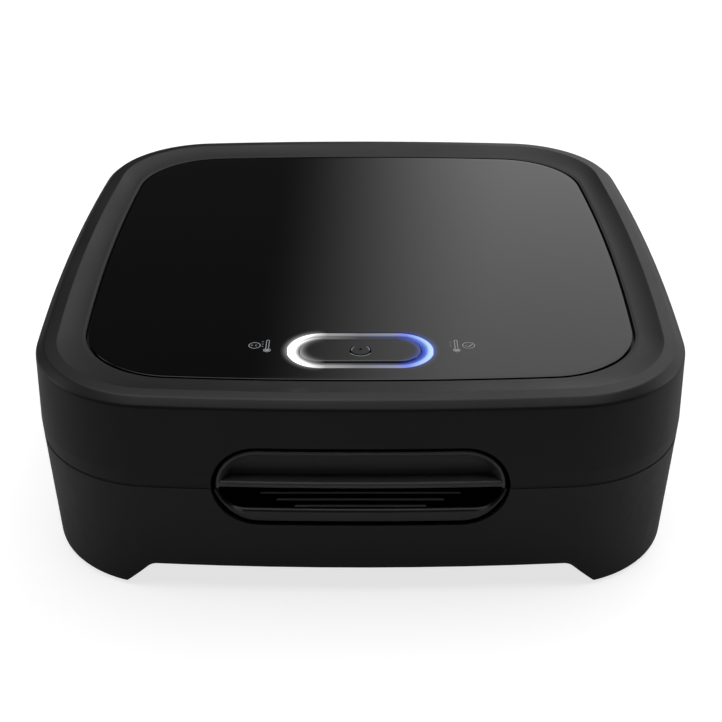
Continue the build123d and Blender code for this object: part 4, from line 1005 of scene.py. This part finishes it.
# %% Finishes of the kept solids
FINISHED = (
    (COVER, "bottom_cover button_housing"),
    (SCREW, "cover_screws lower_clamp_screws lower_plate_screws lid_screws housing_screws "
            "upper_clamp_screws upper_plate_screws"),
    (STEEL, "lower_element_terminals lower_element_clamps upper_element_terminals "
            "upper_element_clamps hinge_pin_left hinge_pin_right"),
    (SHEET, "lower_heat_shield upper_heat_shield"),
    (SHEATH, "lower_heating_element upper_heating_element"),
    (SILICONE, "lower_lead_left lower_lead_right upper_lead_left upper_lead_right"),
    (NYLON, "terminal_block lid_terminal_block heating_leds ready_leds"),
    (SWITCH, "tactile_switch switch_plunger"),
    (RUBBER, "cord_gland rubber_foot_front_left rubber_foot_front_right rubber_foot_rear_left "
             "rubber_foot_rear_right"),
    (NUT, "gland_nut"), (CAN, "thermostat"), (CERAMIC, "thermal_fuse"), (FOAM, "panel_gasket"),
    (BOARD, "indicator_board"), (COLLAR, "button_collar"),
    # The solids that a new surface stands in for get its finish too.
    (HANDLE_PAINTED_LIGHTER, "finger_recess lid_handle"), (PANEL, "top_panel"), (RING, "light_ring"),
    (BUTTON, "power_button"), (CASING, "lid_shell"),
)
finishes = {name: material for material, names in FINISHED for name in names.split()}
for name, material in finishes.items():
    nodes[name].data.materials.clear()
    nodes[name].data.materials.append(material)

MOULD_RADIUS = 0.3
softened = {"base_shell": BASE_CASING, "lower_frame": FRAME, "upper_frame": FRAME,
            "lower_cooking_plate": COATED, "upper_cooking_plate": COATED}
for name, material in softened.items():
    piece = soften(name, material, MOULD_RADIUS)
    print(piece.name, len(piece.data.polygons))
missing = sorted(set(nodes) - set(finishes) - set(softened))
print("nodes without a finish:", missing)

# %% [markdown]
# The studio starts with a wide sheet of pale paper. What the camera sees of it also glows a little, so
# that it is white right up to the machine, and only the contact shadow under the feet stays grey.

# %% Floor
def show_camera(tree, plain, seen, output):
    """The camera sees one shader, and all other light meets the plain one."""
    path = add_node(tree, "LightPath")
    pick = add_node(tree, "MixShader", links={
        "Fac": path.outputs["Is Camera Ray"], 1: plain.outputs[0], 2: seen.outputs[0]})
    tree.links.new(pick.outputs[0], tree.nodes[output].inputs["Surface"])


floor_mesh = bpy.data.meshes.new("floor")
FLOOR_HALF = 6.0
floor_corners = [(x * FLOOR_HALF, y * FLOOR_HALF, 0) for x, y in ((-1, -1), (1, -1), (1, 1), (-1, 1))]
floor_mesh.from_pydata(floor_corners, [], [(0, 1, 2, 3)])
floor = place_object("floor", floor_mesh)
backdrop, tree, shader = start_material("floor paper", {"Roughness": 0.9, "Base Color": linear("#b8b8b8")})
shader.inputs["Specular IOR Level"].default_value = 0.1
glow = add_node(tree, "Emission", values={"Color": (1, 1, 1, 1), "Strength": 0.75})
both = add_node(tree, "AddShader", links={0: shader.outputs[0], 1: glow.outputs[0]})
show_camera(tree, shader, both, "Material Output")
floor_mesh.materials.append(backdrop)

# %% [markdown]
# Gloss black mirrors its room. The camera sees the world as plain white, but for reflections it is a
# dark room with one soft box at the right, behind the machine. The box's edge is smooth and leans, and
# its mirror image draws the long gradient over the panel.

# %% World
def smooth_rise(tree, value, start, end, height):
    """A level that rises smoothly from 0 to this height as the value goes from start to end."""
    return add_node(tree, "MapRange", {"interpolation_type": "SMOOTHSTEP"},
                    {"From Min": start, "From Max": end, "To Max": height},
                    {"Value": value}).outputs["Result"]


world = bpy.data.worlds.new("studio")
bpy.context.scene.world = world
world.use_nodes = True
tree = world.node_tree
background = tree.nodes["Background"]
direction = add_node(tree, "TexCoord").outputs["Generated"]
parts = add_node(tree, "SeparateXYZ", links={"Vector": direction})
# The box's left edge lies at x = (y - 0.857) * 0.4 of the direction that is looked in, so it leans to
# the right as it comes down to the horizon.
EDGE_Y, EDGE_LEAN = 0.857, 0.4
lean = add_math(tree, "MULTIPLY", add_math(tree, "SUBTRACT", parts.outputs["Y"], EDGE_Y), EDGE_LEAN)
right = smooth_rise(tree, add_math(tree, "SUBTRACT", parts.outputs["X"], lean), -0.09, 0.10, 1.0)
behind = smooth_rise(tree, parts.outputs["Y"], 0.1, 0.6, 0.95)
ROOM_LIGHT = 0.04
box_light = add_math(tree, "MULTIPLY", right, behind)
tree.links.new(add_math(tree, "ADD", box_light, ROOM_LIGHT), background.inputs["Strength"])
background.inputs["Color"].default_value = (1, 1, 1, 1)
white = add_node(tree, "Background", values={"Color": (1, 1, 1, 1), "Strength": 1.0})
show_camera(tree, background, white, "World Output")

# %% [markdown]
# Three area lamps give the matt plastic its form: a large one overhead, and a weak upright strip at
# each side, which lifts the side walls and the feet off the black.

# %% Lamps
def area(name, place, aim, size, power, size_y=None):
    """A soft box: a rectangular area lamp at a place, turned to shine at a point."""
    lamp = bpy.data.lights.new(name, "AREA")
    lamp.shape = "RECTANGLE"
    lamp.size = size
    lamp.size_y = size_y or size
    lamp.energy = power
    thing = place_object(name, lamp)
    thing.location = place
    thing.rotation_euler = (Vector(aim) - Vector(place)).to_track_quat("-Z", "Y").to_euler()


centre = (0, CASE_Y, 0.06)
area("overhead", (0.0, 0.1, 1.3), centre, 1.6, 14)
for name, x in (("left strip", -1.5), ("right strip", 1.5)):
    area(name, (x, 0.2, 0.5), centre, 0.5, 3, size_y=0.9)

# %% [markdown]
# The camera stands in front of the machine on its middle line, and looks down 30.5 degrees. Its lens
# and shift come from a fit of the panel's and the casing's outlines to the picture.

# %% Camera
VIEW = 722
FOCAL_PX = 1286.7
CENTRE_PX = 360.5
SENSOR = 36.0
LOOK_DOWN = 30.5
IN_FRONT = 589.3 * MM
ABOVE_PANEL = 282.3 * MM
camera_data = bpy.data.cameras.new("camera")
camera_data.sensor_width = SENSOR
camera_data.lens = FOCAL_PX / VIEW * SENSOR
camera_data.shift_x = (VIEW / 2 - CENTRE_PX) / VIEW
camera_data.shift_y = (CENTRE_PX - VIEW / 2) / VIEW
camera = place_object("camera", camera_data)
camera.location = (0, CASE_Y - IN_FRONT, PANEL_TOP + ABOVE_PANEL)
camera.rotation_euler = (math.radians(90 - LOOK_DOWN), 0, 0)
bpy.context.scene.camera = camera
bpy.context.scene.view_settings.view_transform = "Standard"
